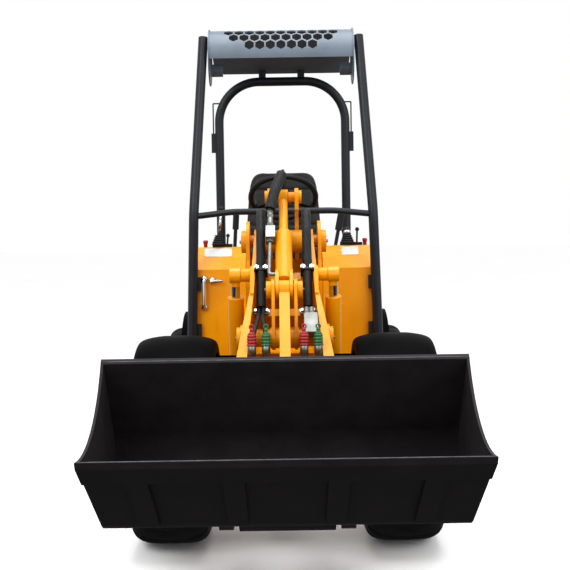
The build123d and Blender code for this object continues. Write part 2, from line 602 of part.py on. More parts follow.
def side_pods():
    """Pair of sheet body pods beside the footwell: raised front panel, console and wheel arch."""
    shape = outline([(POD_FRONT_U, POD_LOW_Z), (POD_FRONT_U, PANEL_TOP_Z), (POD_FRONT_U - 70, 1173),
                     (-410, CONSOLE_Z), (-470, CONSOLE_Z), (-530, POD_TOP_Z), (POD_REAR_U, POD_TOP_Z),
                     (POD_REAR_U, REAR_TOP_Z), (-335, REAR_TOP_Z), (-335, POD_LOW_Z)])
    room = outline([(POD_FRONT_U - POD_WALL, POD_LOW_Z - 1), (POD_FRONT_U - POD_WALL, PANEL_TOP_Z - 4),
                    (POD_FRONT_U - 74, 1166), (-412, CONSOLE_Z - POD_WALL), (-466, CONSOLE_Z - POD_WALL),
                    (-526, POD_TOP_Z - POD_WALL), (POD_REAR_U + POD_WALL, POD_TOP_Z - POD_WALL),
                    (POD_REAR_U + POD_WALL, REAR_TOP_Z - 1), (POD_WALL - 335, REAR_TOP_Z - 1),
                    (POD_WALL - 335, POD_LOW_Z - 1)])
    hub = Pos(-PIVOT_TO_AXLE, TYRE_R)
    hollow = slab(room, POD_IN + POD_WALL, POD_OUT - POD_WALL)
    hollow -= slab(hub * Circle(ARCH_R + POD_WALL), ARCH_IN - POD_WALL, POD_OUT)
    body = slab(shape, POD_IN, POD_OUT) - hollow
    body -= slab(hub * Circle(ARCH_R), ARCH_IN, POD_OUT + 10)
    field = block(POD_FRONT_U - 1, POD_FRONT_U + 8, POD_LOW_Z, 935, POD_IN, 345)
    field = fillet(field.edges().filter_by(Axis.Y).sort_by(Axis.Z)[-2:].sort_by(Axis.X)[-1:], 60)
    return both_sides(body + field)


def floor_plate():
    """Footwell floor between the pods."""
    edge = POD_IN - NEAR
    return block(SEAT_BOX_U + NEAR, FRONT_WALL_U - 130, REAR_TOP_Z, REAR_TOP_Z + FLOOR_T, -edge, edge)


def seat_base():
    """Seat box of sheet over the engine bay's front with the seat rails and hood hinge knuckles."""
    edge = POD_IN - NEAR
    body = block(POD_REAR_U, SEAT_BOX_U, REAR_TOP_Z, SEAT_BOX_Z, -edge, edge)
    wall = POD_WALL
    room = edge - wall
    body -= block(POD_REAR_U + wall, SEAT_BOX_U - wall, REAR_TOP_Z - 1, SEAT_BOX_Z - wall, -room, room)
    body += both_sides(block(-880, SEAT_BOX_U, SEAT_BOX_Z - 1, SEAT_RAIL_Z, 90, 150))
    for x in (-140, 140):
        body += cross_pin(HOOD_HINGE, 14, x - 20, x + 20)
        body += block(HOOD_HINGE[0], POD_REAR_U, HOOD_HINGE[1] - 40, HOOD_HINGE[1] - 5, x - 20, x + 20)
        body += block(HOOD_HINGE[0] - 5, POD_REAR_U + 5, HOOD_HINGE[1] - 40, HOOD_HINGE[1], x - 20, x + 20)
    body -= cross_pin(HOOD_HINGE, 8 + RUN, -300, 300)
    return body


def seat_cushion():
    """Seat cushion's plain solid."""
    body = block(-880, -520, SEAT_RAIL_Z + NEAR, SEAT_TOP_Z, -SEAT_HALF, SEAT_HALF)
    return fillet(body.edges().filter_by(Axis.Z), 60)


def seat_back():
    """Seat back's plain solid, leaning back and narrower towards its top."""
    lean = math.radians(SEAT_LEAN)
    front = Plane(origin=at(-800, SEAT_TOP_Z), x_dir=(1, 0, 0), z_dir=(0, -math.cos(lean), math.sin(lean)))
    half = [(200, -40), (SEAT_HALF, 140), (SEAT_HALF, 220), (172, 432)]
    mirrored = [(-x, up) for x, up in reversed(half)]
    shape = make_face(FilletPolyline(*half, *mirrored, close=True, radius=45))
    body = extrude(front * shape, -85)
    return body - block(-1000, -700, SEAT_TOP_Z - 100, SEAT_TOP_Z + NEAR, -300, 300)


def steering_column():
    """Steering column with its foot on the floor plate."""
    foot = (-330.0, REAR_TOP_Z + FLOOR_T)
    top = (-455.0, 1475.0)
    body = rod(at(*foot), at(*top), 26)
    body += block(foot[0] - 70, foot[0] + 50, foot[1], foot[1] + 260, -70, 70)
    return body - block(foot[0] - 200, foot[0] + 200, foot[1] - 60, foot[1], -100, 100)


def steering_wheel():
    """Steering wheel rim, three spokes, hub and spinner knob."""
    tilt = Pos(*at(-460, 1486)) * Rot(-38, 0, 0)
    wheel = Torus(172, 14) + Cylinder(40, 24)
    for angle in (30, 150, 270):
        wheel += Rot(0, 0, angle) * Pos(95, 0, 0) * Box(150, 24, 10)
    wheel += Rot(0, 0, 150) * Pos(172, 0, 28) * Cylinder(20, 34)
    return tilt * wheel - rod(at(-330, REAR_TOP_Z + FLOOR_T), at(-455, 1475), 26 + NEAR)


def control_levers():
    """Joystick, small levers and grips on the consoles, and two hand levers beside the seat."""
    # Lever foot's side distance, u and height, its top's side distance, u and height, radius, knob radius
    base = CONSOLE_Z + 8
    levers = ((-345, -430, base, -330, -450, base + 192, 6, 17),
              (-300, -440, base, -296, -444, base + 52, 5, 10),
              (335, -440, base, 330, -446, base + 66, 6, 24),
              (385, -440, base, 388, -444, base + 76, 5, 11))
    body = None
    for x0, u0, z0, x1, u1, z1, radius, knob in levers:
        one = rod(at(u0, z0, x0), at(u1, z1, x1), radius)
        one += Pos(*at(u1, z1, x1)) * Sphere(knob)
        body = one if body is None else body + one
    for x, half in ((-325, 52), (355, 58)):
        body += block(-464, -414, CONSOLE_Z, CONSOLE_Z + 16, x - half, x + half)
    body += Pos(*at(-440, CONSOLE_Z + 14, 335)) * Cone(34, 14, 40, align=STANDING)
    foot_z = POD_TOP_Z + 8
    grips = (((-275, -640, foot_z), (-258, -655, foot_z + 302), 10, 17),
             ((262, -640, foot_z), (318, -655, foot_z + 282), 10, 19))
    for foot, top, radius, grip in grips:
        a, b = at(foot[1], foot[2], foot[0]), at(top[1], top[2], top[0])
        body += rod(a, b, radius) + rod(a + (b - a) * 0.64, b, grip)
        body += block(foot[1] - 24, foot[1] + 24, POD_TOP_Z, POD_TOP_Z + 12, foot[0] - 24, foot[0] + 24)
    return body


def front_posts():
    """Front posts of the guard frame with the bowed cross bar between them."""
    front = POD_FRONT_U + POST_R
    foot = (480, front + 2, 700)
    knee = (458, front + 8, 1405)
    top = (ROOF_X + POST_R + NEAR, -455, 2330)
    post = bent_tube([at(u, z, x) for x, u, z in (foot, knee, top)], POST_R, 400)
    post += block(POD_FRONT_U, front, 760, 840, 430, foot[0])
    post += block(POD_FRONT_U, front, 1010, 1080, 430, foot[0] - 8)
    body = both_sides(post)
    bar = [at(POD_FRONT_U + ahead, z, x) for ahead, z, x in (
        (22, 1392, -456), (60, 1412, -260), (60, 1412, 260), (22, 1392, 456))]
    return body + bent_tube(bar, 16, 300)


def rear_hoop():
    """Rear hoop of the guard frame with its feet on the pods, roof lugs, lock boxes and stay wires."""
    points = [at(HOOP_U, z, x) for z, x in (
        (POD_TOP_Z, -HOOP_X), (HOOP_TOP_Z, -HOOP_X), (HOOP_TOP_Z, HOOP_X), (POD_TOP_Z, HOOP_X))]
    body = bent_tube(points, POST_R, HOOP_BEND)
    one = block(HOOP_U - 8, HOOP_U + 8, HOOP_TOP_Z, roof_under(HOOP_U - 8) - NEAR, 90, 130)
    one += block(HOOP_U - 24, HOOP_U + 60, POD_TOP_Z, POD_TOP_Z + 12, HOOP_X - 60, HOOP_X + 60)
    x = HOOP_X + POST_R + 9
    one += block(HOOP_U - 12, HOOP_U + 12, 1760, 1870, HOOP_X, x + 12)
    wire = [at(HOOP_U, 1860, x), at(HOOP_U, 2040, x), at(HOOP_U, 2040, HOOP_X - 30)]
    one += rod(*wire[:2], 4) + rod(*wire[1:], 4)
    return body + both_sides(one)


def roof_nose():
    """Centre of the roof's rounded nose in the side view."""
    return (ROOF_FRONT_U - ROOF_NOSE_R, ROOF_TOP_Z - ROOF_NOSE_R)


def roof_under(u):
    """Height of the sloped roof sheet's underside at a place."""
    nose = roof_nose()
    start = plus(nose, polar(ROOF_NOSE_R - ROOF_T, 90 + ROOF_SLOPE))
    return start[1] - (start[0] - u) * math.tan(math.radians(ROOF_SLOPE))


def roof_panel():
    """Roof sheet with a rounded, pierced nose, a slope to the rear, and end plates that hold the posts."""
    nose = roof_nose()
    low, high = -9.0, 90 + ROOF_SLOPE
    tail = (nose[0] + polar(ROOF_NOSE_R, high)[0] - ROOF_REAR_U) / math.cos(math.radians(ROOF_SLOPE))
    slope = polar(tail, 180 + ROOF_SLOPE)
    edges = []
    ends = []
    for radius in (ROOF_NOSE_R, ROOF_NOSE_R - ROOF_T):
        a, b, c = (plus(nose, polar(radius, angle)) for angle in (low, (low + high) / 2, high))
        d = plus(c, slope)
        edges += [ThreePointArc(a, b, c), Line(c, d)]
        ends.append((a, d))
    edges += [Line(ends[0][0], ends[1][0]), Line(ends[0][1], ends[1][1])]
    body = slab(make_face([e.edge() for e in edges]), -ROOF_X, ROOF_X)
    cell = extrude(RegularPolygon(HEX_R, 6, rotation=30), 4 * ROOF_T, both=True)
    for angle, number in HEX_ROWS:
        place = plus(nose, polar(ROOF_NOSE_R, angle))
        normal = polar(1.0, angle)
        for i in range(number):
            x = (i - (number - 1) / 2) * HEX_PITCH
            body -= Plane(origin=at(*place, x), x_dir=(1, 0, 0), z_dir=(0, -normal[0], normal[1])) * cell
    end = make_hull((Pos(*nose) * Circle(ROOF_NOSE_R + 8) + Pos(nose[0], nose[1] - 60) * Circle(60)).edges())
    plate = slab(end, ROOF_X - ROOF_T, ROOF_X)
    lamp = (nose[0] - 150, nose[1] - 46)
    plate += cross_pin(lamp, 34, ROOF_X - 62, ROOF_X)
    arm = outline([nose, plus(nose, (-150, 60)), plus(lamp, (-20, 0)), plus(lamp, (20, 0)),
                   plus(nose, (0, -60))])
    plate += slab(arm, ROOF_X - ROOF_T, ROOF_X)
    return body + both_sides(plate)


def engine_hood():
    """Hollow tail hood with grille slots, hinged at its front top edge."""
    rear = HOOD_REAR_U
    low, high = 660, HOOD_HINGE[1] + 12
    front = HOOD_HINGE[0] - 4
    outer = outline([(front, low), (front, high - 32), (front - 26, high), (rear + 75, high - 37),
                     (rear, high - 142), (rear, low)])
    inner = outline([(front + 14, low - 20), (front + 14, high - 38), (front - 28, high - HOOD_T),
                     (rear + 79, high - 37 - HOOD_T), (rear + HOOD_T, high - 145), (rear + HOOD_T, low - 20)])
    body = slab(outer, -HOOD_X, HOOD_X) - slab(inner, HOOD_T - HOOD_X, HOOD_X - HOOD_T)
    for row in range(6):
        z = low + 60 + 34 * row
        body -= block(rear - 25, rear + 35, z, z + 16, -220, 220)
    for x in (-180, 180):
        body += cross_pin(HOOD_HINGE, 14, x - 19, x + 19)
        body += block(HOOD_HINGE[0] - 30, HOOD_HINGE[0], HOOD_HINGE[1] - 4, HOOD_HINGE[1] + 8, x - 19, x + 19)
    return body + both_sides(cross_pin(HOOD_HINGE, 8, 115, 180))


def engine_block():
    """Engine as one plain mass on the rear frame."""
    return block(-1225, -1010, ENGINE_LOW_Z, 960, -165, 165)


def counterweight():
    """Tail weight with rounded corners and a tow jaw."""
    body = block(WEIGHT_REAR_U, REAR_END_U, TYRE_R - 10, REAR_TOP_Z, -420, 420)
    body = fillet(body.edges().filter_by(Axis.Z).sort_by(Axis.Y)[-2:], 50)
    for z0, z1 in ((TOW_LOW_Z, TOW_LOW_Z + TOW_EAR_T), (TOW_HIGH_Z - TOW_EAR_T, TOW_HIGH_Z)):
        body += block(-REACH_REAR, WEIGHT_REAR_U + 5, z0, z1, -45, 45)
    return body - Pos(*at(-TOW_U, TOW_LOW_Z)) * Cylinder(TOW_PIN_R, 4 * TOW_LOW_Z)


def steer_barrel():
    """Steering cylinder barrel."""
    a, b = STEER_REAR, STEER_FRONT
    angle = math.degrees(math.atan2(b[1] - a[1], b[0] - a[0]))
    start, head, bore, mouth = (plus(a, polar(s, angle)) for s in (20, 330, 60, 340))
    body = rod(at(start[0], STEER_Z, start[1]), at(head[0], STEER_Z, head[1]), 24)
    body += Pos(*at(a[0], STEER_Z, a[1])) * Cylinder(29, STEER_EYE)
    body -= Pos(*at(a[0], STEER_Z, a[1])) * Cylinder(STEER_PIN_R + RUN, 100)
    return body - rod(at(bore[0], STEER_Z, bore[1]), at(mouth[0], STEER_Z, mouth[1]), STEER_ROD_R + RUN)


def steer_rod():
    """Steering cylinder rod with its eye."""
    a, b = STEER_REAR, STEER_FRONT
    angle = math.degrees(math.atan2(b[1] - a[1], b[0] - a[0]))
    start, end = plus(a, polar(230, angle)), plus(b, polar(-10, angle))
    body = rod(at(start[0], STEER_Z, start[1]), at(end[0], STEER_Z, end[1]), STEER_ROD_R)
    return body + Pos(*at(b[0], STEER_Z, b[1])) * Cylinder(25, STEER_EYE)


def arm_couplers():
    """Hydraulic couplers, valve block and fittings on the arm's lower cross plate, and the hose clamps."""
    along, width, above, half = ARM_PLATES[1]
    base = arm_point(along + width / 2, above)
    body = None
    for x in (-140, -80, 80, 140):
        one = Pos(*at(base[0], base[1] + 30, x)) * Cylinder(14, 60)
        one += Pos(*at(base[0], base[1] + 66, x)) * Cylinder(19, 24)
        one += Pos(*at(base[0], base[1] + 78, x)) * Cone(14, 5, 30, align=STANDING)
        body = one if body is None else body + one
    under = outline([arm_point(along - 60, above), arm_point(along + 140, above),
                     arm_point(along + 140, -200), arm_point(along - 60, -200)])
    body -= slab(under, -200, 200)
    along, width, above, half = ARM_PLATES[0]
    corners = ((4, 0), (width - 4, 0), (width - 4, CLAMP_T), (4, CLAMP_T))
    clamp = outline([arm_point(along + s, above + h) for s, h in corners])
    return body + both_sides(slab(clamp, SLEEVE_X - 30, SLEEVE_X + 30))


def arm_hoses():
    """Sleeved hoses from over the arm pivot to their clamps, and the thin hoses on to the couplers."""
    along, width, above, half = ARM_PLATES[0]
    rest = above + CLAMP_T + NEAR
    clamp = arm_point(along + width / 2, rest + SLEEVE_R)
    run = [clamp, arm_point(230, 62), (395, 1312), (330, 1396), (226, 1400)]
    body = bent_tube([at(u, z, SLEEVE_X) for u, z in run], SLEEVE_R, 55)
    ends = ARM_PLATES[1]
    for x0, x1 in ((SLEEVE_X - 10, 80), (SLEEVE_X + 10, 140)):
        hose = [(clamp, x0), (arm_point(along + 60, rest + SLEEVE_R), x0),
                (arm_point(520, LEVER_SHAFT_R + 34), x0), (arm_point(650, LEVER_SHAFT_R + 34), x1),
                (arm_point(ends[0] - 60, ends[2] - 9), x1), (arm_point(ends[0] - NEAR, ends[2] - 9), x1)]
        body += bent_tube([at(*place, x) for place, x in hose], HOSE_R, 30)
    return both_sides(body)


def tilt_hose():
    """Sleeved hose over the tilt bracket, with its end fittings and pipe beside the tilt barrel."""
    back = math.degrees(math.atan2(TILT_TOP[1] - TILT_PIN[1], TILT_TOP[0] - TILT_PIN[0]))

    def beside(along, out, x):
        return at(*plus(plus(TILT_PIN, polar(along, back)), polar(out, back - 90)), x)

    side = -TILT_BARREL_R - 22
    sleeve = [beside(440, 62, side), beside(520, 90, -40), beside(625, 108, -4)]
    body = bent_tube(sleeve, TILT_SLEEVE_R, 60)
    body += rod(beside(300, 40, side), beside(445, 62, side), 12)
    port = TILT_EYE_R + 50
    pipe = [beside(port, 0, -TILT_BARREL_R - NEAR), beside(port, 0, side - 6), beside(300, 40, side)]
    body += bent_tube(pipe, 8, 13)
    corner = [plus(plus(TILT_PIN, polar(a, back)), polar(o, back - 90)) for a, o in (
        (268, 4), (338, 4), (338, 58), (268, 58))]
    return body + slab(outline(corner), -TILT_BARREL_R - 0.5, side - 20)


NODES = {
    "rear_chassis": rear_chassis, "counterweight": counterweight, "engine_block": engine_block,
    "floor_plate": floor_plate, "seat_base": seat_base, "seat_cushion": seat_cushion,
    "seat_back": seat_back, "steering_column": steering_column, "steering_wheel": steering_wheel,
    "control_levers": control_levers, "front_posts": front_posts, "rear_hoop": rear_hoop,
    "roof_panel": roof_panel, "side_pods": side_pods, "rear_fenders": rear_fenders,
    "engine_hood": engine_hood, "front_chassis": front_chassis, "front_fenders": front_fenders,
    "lift_arms": lift_arms, "arm_couplers": arm_couplers, "arm_hoses": arm_hoses,
    "lift_barrels": lift_barrels, "lift_rods": lift_rods, "lever_pin": lever_pin, "tilt_lever": tilt_lever,
    "tilt_pin": tilt_pin, "tilt_barrel": tilt_barrel, "tilt_hose": tilt_hose, "tilt_rod": tilt_rod,
    "tilt_link": tilt_link, "hinge_pins": hinge_pins, "bucket": bucket, "quick_coupler": quick_coupler,
    "steer_barrel": steer_barrel, "steer_rod": steer_rod,
}

os.makedirs("parts", exist_ok=True)
for name, make in NODES.items():
    export_step(make(), f"parts/{name}.step")
for end, axle_u in (("front", PIVOT_TO_AXLE), ("rear", -PIVOT_TO_AXLE)):
    export_step(axle(axle_u), f"parts/{end}_axle.step")
    for hand, side in (("right", -1), ("left", 1)):
        for piece, make in (("tyre", tyre), ("rim", rim)):
            export_step(wheel_place(make(), side, axle_u), f"parts/{end}_{hand}_{piece}.step")
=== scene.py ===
# %% [markdown]
# # A compact articulated loader
# The loader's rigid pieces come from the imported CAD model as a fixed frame. This script gives every
# piece its finish, and adds what a workshop would add last: tread, padding, caps, fittings and bolts.
# Everything is in metres, with +Z up and -Y to the front.

# %% Load the frame
import json
import math

import bmesh
import bpy
import numpy as np
from mathutils import Matrix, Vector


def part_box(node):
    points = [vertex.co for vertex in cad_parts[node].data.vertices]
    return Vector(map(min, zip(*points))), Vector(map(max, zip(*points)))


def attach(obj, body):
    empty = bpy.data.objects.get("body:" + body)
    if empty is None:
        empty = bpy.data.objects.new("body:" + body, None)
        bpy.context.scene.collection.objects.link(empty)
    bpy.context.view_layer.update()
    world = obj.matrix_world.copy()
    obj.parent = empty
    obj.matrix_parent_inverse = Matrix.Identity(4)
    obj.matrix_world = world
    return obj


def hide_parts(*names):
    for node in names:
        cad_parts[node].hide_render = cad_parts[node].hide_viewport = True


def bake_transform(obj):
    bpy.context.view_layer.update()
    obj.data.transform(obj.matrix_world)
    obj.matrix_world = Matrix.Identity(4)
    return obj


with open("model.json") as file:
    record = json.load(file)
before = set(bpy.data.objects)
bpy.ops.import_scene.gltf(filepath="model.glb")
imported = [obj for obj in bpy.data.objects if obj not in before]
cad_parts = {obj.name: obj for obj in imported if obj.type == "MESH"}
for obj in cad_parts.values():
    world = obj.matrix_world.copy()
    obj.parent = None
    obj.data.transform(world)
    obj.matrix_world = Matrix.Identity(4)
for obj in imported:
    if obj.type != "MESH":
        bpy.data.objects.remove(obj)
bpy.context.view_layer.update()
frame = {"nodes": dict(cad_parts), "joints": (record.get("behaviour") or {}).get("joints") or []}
joint_at = {j["name"]: np.array(j.get("pos_m", (0, 0, 0)), float) for j in frame["joints"]}

# %% [markdown]
# ## Places
# The CAD frame is measured from the articulation pivot, so the same measures are handy here. A place
# on the lift arm is easier to give along the arm and above it, because the arm lies at a slope, and
# the tilt cylinder has its own slope.

# %% Places on the machine, on its arm and on its tilt cylinder
MM = 0.001
PIVOT_Y = joint_at["articulation"][1]
ARM_PIVOT = joint_at["lift"]
ARM_RUN = joint_at["tilt"] - ARM_PIVOT
ARM_DIR = ARM_RUN / np.linalg.norm(ARM_RUN)
ARM_UP = np.array((0.0, ARM_DIR[2], -ARM_DIR[1]))
SIDE = np.array((1.0, 0.0, 0.0))


def at(u, z, x=0.0):
    """Point u millimetres ahead of the pivot, z above the floor and x to the side, in metres."""
    return np.array((x * MM, PIVOT_Y - u * MM, z * MM))


TILT_TOP = at(213.5, 1471.8)
TILT_RUN = TILT_TOP - joint_at["tilt_pin"]
TILT_DIR = TILT_RUN / np.linalg.norm(TILT_RUN)
TILT_OUT = np.array((0.0, -TILT_DIR[2], TILT_DIR[1]))


def on_arm(along, above, x):
    """Point along the lift arm from its pivot and square above its middle line, in metres."""
    return ARM_PIVOT + (ARM_DIR * along + ARM_UP * above + SIDE * x) * MM


def on_tilt(along, out, x):
    """Point along the tilt cylinder from its foot pin and square out to the front, in metres."""
    return joint_at["tilt_pin"] + (TILT_DIR * along + TILT_OUT * out + SIDE * x) * MM


print("arm", np.round(ARM_DIR, 3), np.round(ARM_UP, 3), "tilt", np.round(TILT_DIR, 3), np.round(TILT_OUT, 3))

# %% [markdown]
# ## Finishes
# A finish starts from what the real surface is. One function adds a shader node with its settings and
# links, one turns an sRGB hex colour to the linear values that shaders use, and one makes a material
# whose colour, roughness and bump vary a little, as no real surface is one flat colour.

# %% Colour, nodes and a varied surface
def linear(colour):
    """Linear RGBA of an sRGB hex colour: each channel goes through the sRGB curve."""
    srgb = np.array([int(colour[i:i + 2], 16) for i in (1, 3, 5)]) / 255
    curve = np.where(srgb <= 0.04045, srgb / 12.92, ((srgb + 0.055) / 1.055) ** 2.4)
    return (*curve.tolist(), 1.0)


def node(tree, kind, links=(), inputs=(), **settings):
    """Add a shader node, set its properties and inputs, and link (socket, source node, source socket)."""
    made = tree.nodes.new(kind)
    for key, value in settings.items():
        setattr(made, key, value)
    for key, value in dict(inputs).items():
        made.inputs[key].default_value = value
    for socket, source, output in links:
        tree.links.new(source.outputs[output], made.inputs[socket])
    return made


def finish(name, colours, grain_mm, rough, bump_mm, spread_mm, sockets=(), painted_above=None, painted_shade_below=None):
    """Material whose colour drifts between two colours in soft patches spread_mm wide, whose roughness
    runs between two values, and whose bump is a noise of grain_mm and bump_mm deep. Where a height and
    a colour are given, the metal below that height is under paint above it. Where two heights are given,
    painted shade darkens the colour towards near black from the upper one down to the lower one."""
    material = bpy.data.materials.new(name)
    material.use_nodes = True
    tree = material.node_tree
    shader = tree.nodes["Principled BSDF"]
    for key, value in dict(sockets).items():
        shader.inputs[key].default_value = value
    place = node(tree, "ShaderNodeTexCoord")
    patches = node(tree, "ShaderNodeTexNoise", [("Vector", place, "Object")],
                   {"Scale": 1000.0 / spread_mm, "Detail": 6.0, "Roughness": 0.6})
    ramp = node(tree, "ShaderNodeValToRGB", [("Fac", patches, "Fac")])
    for element, position, colour in zip(ramp.color_ramp.elements, (0.3, 0.7), colours):
        element.position = position
        element.color = linear(colour)
    gloss = node(tree, "ShaderNodeMapRange", [("Value", patches, "Fac")], {"To Min": rough[0], "To Max": rough[1]})
    colour_from, colour_socket = ramp, "Color"
    if painted_above:
        height = node(tree, "ShaderNodeSeparateXYZ", [("Vector", place, "Object")])
        bare = node(tree, "ShaderNodeMath", [(0, height, "Z")], {1: painted_above[0]}, operation="LESS_THAN")
        tree.links.new(bare.outputs["Value"], shader.inputs["Metallic"])
        colour_from = node(tree, "ShaderNodeMix", [("Factor", bare, "Value"), (7, ramp, "Color")],
                           {6: linear(painted_above[1])}, data_type="RGBA")
        colour_socket = 2
    # Painted shade: from the upper height down to the lower one, the colour is mixed towards near black.
    if painted_shade_below:
        height = node(tree, "ShaderNodeSeparateXYZ", [("Vector", place, "Object")])
        shade_fade = node(tree, "ShaderNodeMapRange", [("Value", height, "Z")],
                    {"From Min": painted_shade_below[0], "From Max": painted_shade_below[1], "To Min": 1.0, "To Max": 0.0})
        colour_from = node(tree, "ShaderNodeMix", [("Factor", shade_fade, "Result"), (6, ramp, "Color")],
                           {7: linear("#0C0B0A")}, data_type="RGBA")
        colour_socket = 2
    tree.links.new(colour_from.outputs[colour_socket], shader.inputs["Base Color"])
    tree.links.new(gloss.outputs["Result"], shader.inputs["Roughness"])
    grain = node(tree, "ShaderNodeTexNoise", [("Vector", place, "Object")],
                 {"Scale": 1000.0 / grain_mm, "Detail": 3.0})
    bump = node(tree, "ShaderNodeBump", [("Height", grain, "Fac")],
                {"Strength": 0.6, "Distance": bump_mm * MM})
    tree.links.new(bump.outputs["Normal"], shader.inputs["Normal"])
    return material


# %% [markdown]
# Painted steel leaves the factory under a sprayed coat. Its skin is smooth but not flat: painters call
# the fine waviness orange peel. The body coat is glossy, the guard frame has a satin powder coat, and
# the bucket's coat is scuffed by what it carries.

# %% Paints
# Heights in metres between which painted shade darkens the enamel's lowest edges.
PAINTED_SHADE_Z = (0.20, 0.26)
# Glossy warm enamel: soft highlights that waver with the orange peel, and painted shade that darkens its lowest edges
# to near black.
ENAMEL = finish("orange_enamel_on_steel", ("#EA9800", "#DE8900"), 14.0, (0.22, 0.34), 0.12, 260.0,
                {"Specular IOR Level": 0.24}, painted_shade_below=PAINTED_SHADE_Z)
# Satin powder coat: dark blue-grey, with a fine even sparkle of grain.
POWDER = finish("anthracite_powder_coat", ("#10141B", "#171C23"), 3.0, (0.36, 0.5), 0.10, 120.0,
                {"Specular IOR Level": 0.28})
# Roof powder coat: a lighter blue-grey, which takes the colour of the sky on its upper face.
ROOF_COAT = finish("blue_grey_roof_powder_coat", ("#66727F", "#586470"), 3.0, (0.34, 0.48), 0.10, 160.0,
                   {"Specular IOR Level": 0.45})
# Black bucket enamel: dull, with lighter scuffed patches.
BUCKET_COAT = finish("black_bucket_enamel", ("#211E20", "#2B2729"), 9.0, (0.4, 0.62), 0.20, 90.0,
                     {"Specular IOR Level": 0.08})
# Grey rim enamel: even and half glossy.
RIM_COAT = finish("grey_rim_enamel", ("#6E7275", "#5D6163"), 6.0, (0.34, 0.5), 0.10, 90.0)
print("paints", [m.name for m in (ENAMEL, POWDER, ROOF_COAT, BUCKET_COAT, RIM_COAT)])

# %% [markdown]
# Moulded parts and rubber are dull and slightly grained by their moulds. Plated steel shines, and its
# colour hardly varies. A cylinder's rod is hard chrome, while the eye on its end is painted.

# %% Plastics, rubbers and metals
# Moulded polyethylene: near black, with a waxy sheen.
PLASTIC = finish("moulded_black_polyethylene", ("#08080A", "#101113"), 1.6, (0.42, 0.58), 0.12, 140.0,
                 {"Specular IOR Level": 0.25})
# Fender polypropylene: deep black, with light only at a glancing angle.
FENDER = finish("moulded_black_polypropylene", ("#030304", "#060607"), 2.0, (0.44, 0.54), 0.08, 140.0,
                {"Specular IOR Level": 0.012})
# Tyre rubber: matt, and dusty in patches.
RUBBER = finish("tyre_rubber", ("#0D0D0E", "#1C1B1A"), 5.0, (0.7, 0.9), 0.4, 80.0, {"Specular IOR Level": 0.2})
# Hose and gaiter rubber: smoother than the tyres.
GRIP = finish("black_moulded_rubber", ("#0B0C0D", "#141517"), 2.0, (0.5, 0.68), 0.1, 60.0,
              {"Specular IOR Level": 0.3})
# Seat vinyl: grained, with a soft sheen on its crowns.
VINYL = finish("seat_vinyl", ("#0C0D0E", "#151618"), 2.4, (0.40, 0.58), 0.25, 70.0,
               {"Sheen Weight": 0.1, "Specular IOR Level": 0.3})
# Zinc plate: bright but cloudy grey metal.
ZINC = finish("zinc_plated_steel", ("#858784", "#696B66"), 2.5, (0.36, 0.52), 0.05, 40.0, {"Metallic": 1.0})
# Chrome: mirror bright, hardly varied.
CHROME = finish("hard_chrome", ("#DADCDD", "#C6C8CA"), 8.0, (0.08, 0.16), 0.02, 60.0, {"Metallic": 1.0})
# A chromed rod whose eye is under the body's enamel, from this height up.
ROD_EYE_Z = 1.068
ROD_AND_EYE = finish("chrome_rod_with_painted_eye", ("#C9CBCC", "#B4B6B8"), 8.0, (0.14, 0.3), 0.05, 60.0,
                     painted_above=(ROD_EYE_Z, "#E49200"))
# Worn steel: where the coat of an edge is rubbed through; its light grey line is also a painted highlight along those
# edges.
WORN_STEEL_AND_HIGHLIGHT = finish("worn_edge_steel_and_painted_highlight", ("#55585C", "#3A3C40"), 6.0, (0.35, 0.6), 0.2, 50.0, {"Metallic": 0.6})
# Cast iron: rough grey metal.
IRON = finish("cast_iron_engine", ("#3A3C3E", "#4C4A46"), 4.0, (0.6, 0.8), 0.5, 60.0, {"Metallic": 0.4})
# Coupler caps: soft coloured rubber.
RED_CAP = finish("red_rubber_cap", ("#A90F18", "#7F0A12"), 3.0, (0.38, 0.5), 0.1, 30.0)
GREEN_CAP = finish("green_rubber_cap", ("#1C6A33", "#124A22"), 3.0, (0.38, 0.5), 0.1, 30.0)
# Pale plate: brushed light grey face under the levers.
PALE = finish("pale_control_plate", ("#D2D4D1", "#BDBEBA"), 4.0, (0.35, 0.5), 0.05, 60.0)
print("other finishes", len(bpy.data.materials))


# %% [markdown]
# The woven sleeve needs a weave. Two wave patterns that cross at right angles give the over-and-under
# of the yarns; the yarn pitch is drawn at 7 mm, coarser than the real 2 mm, so that it still shows.

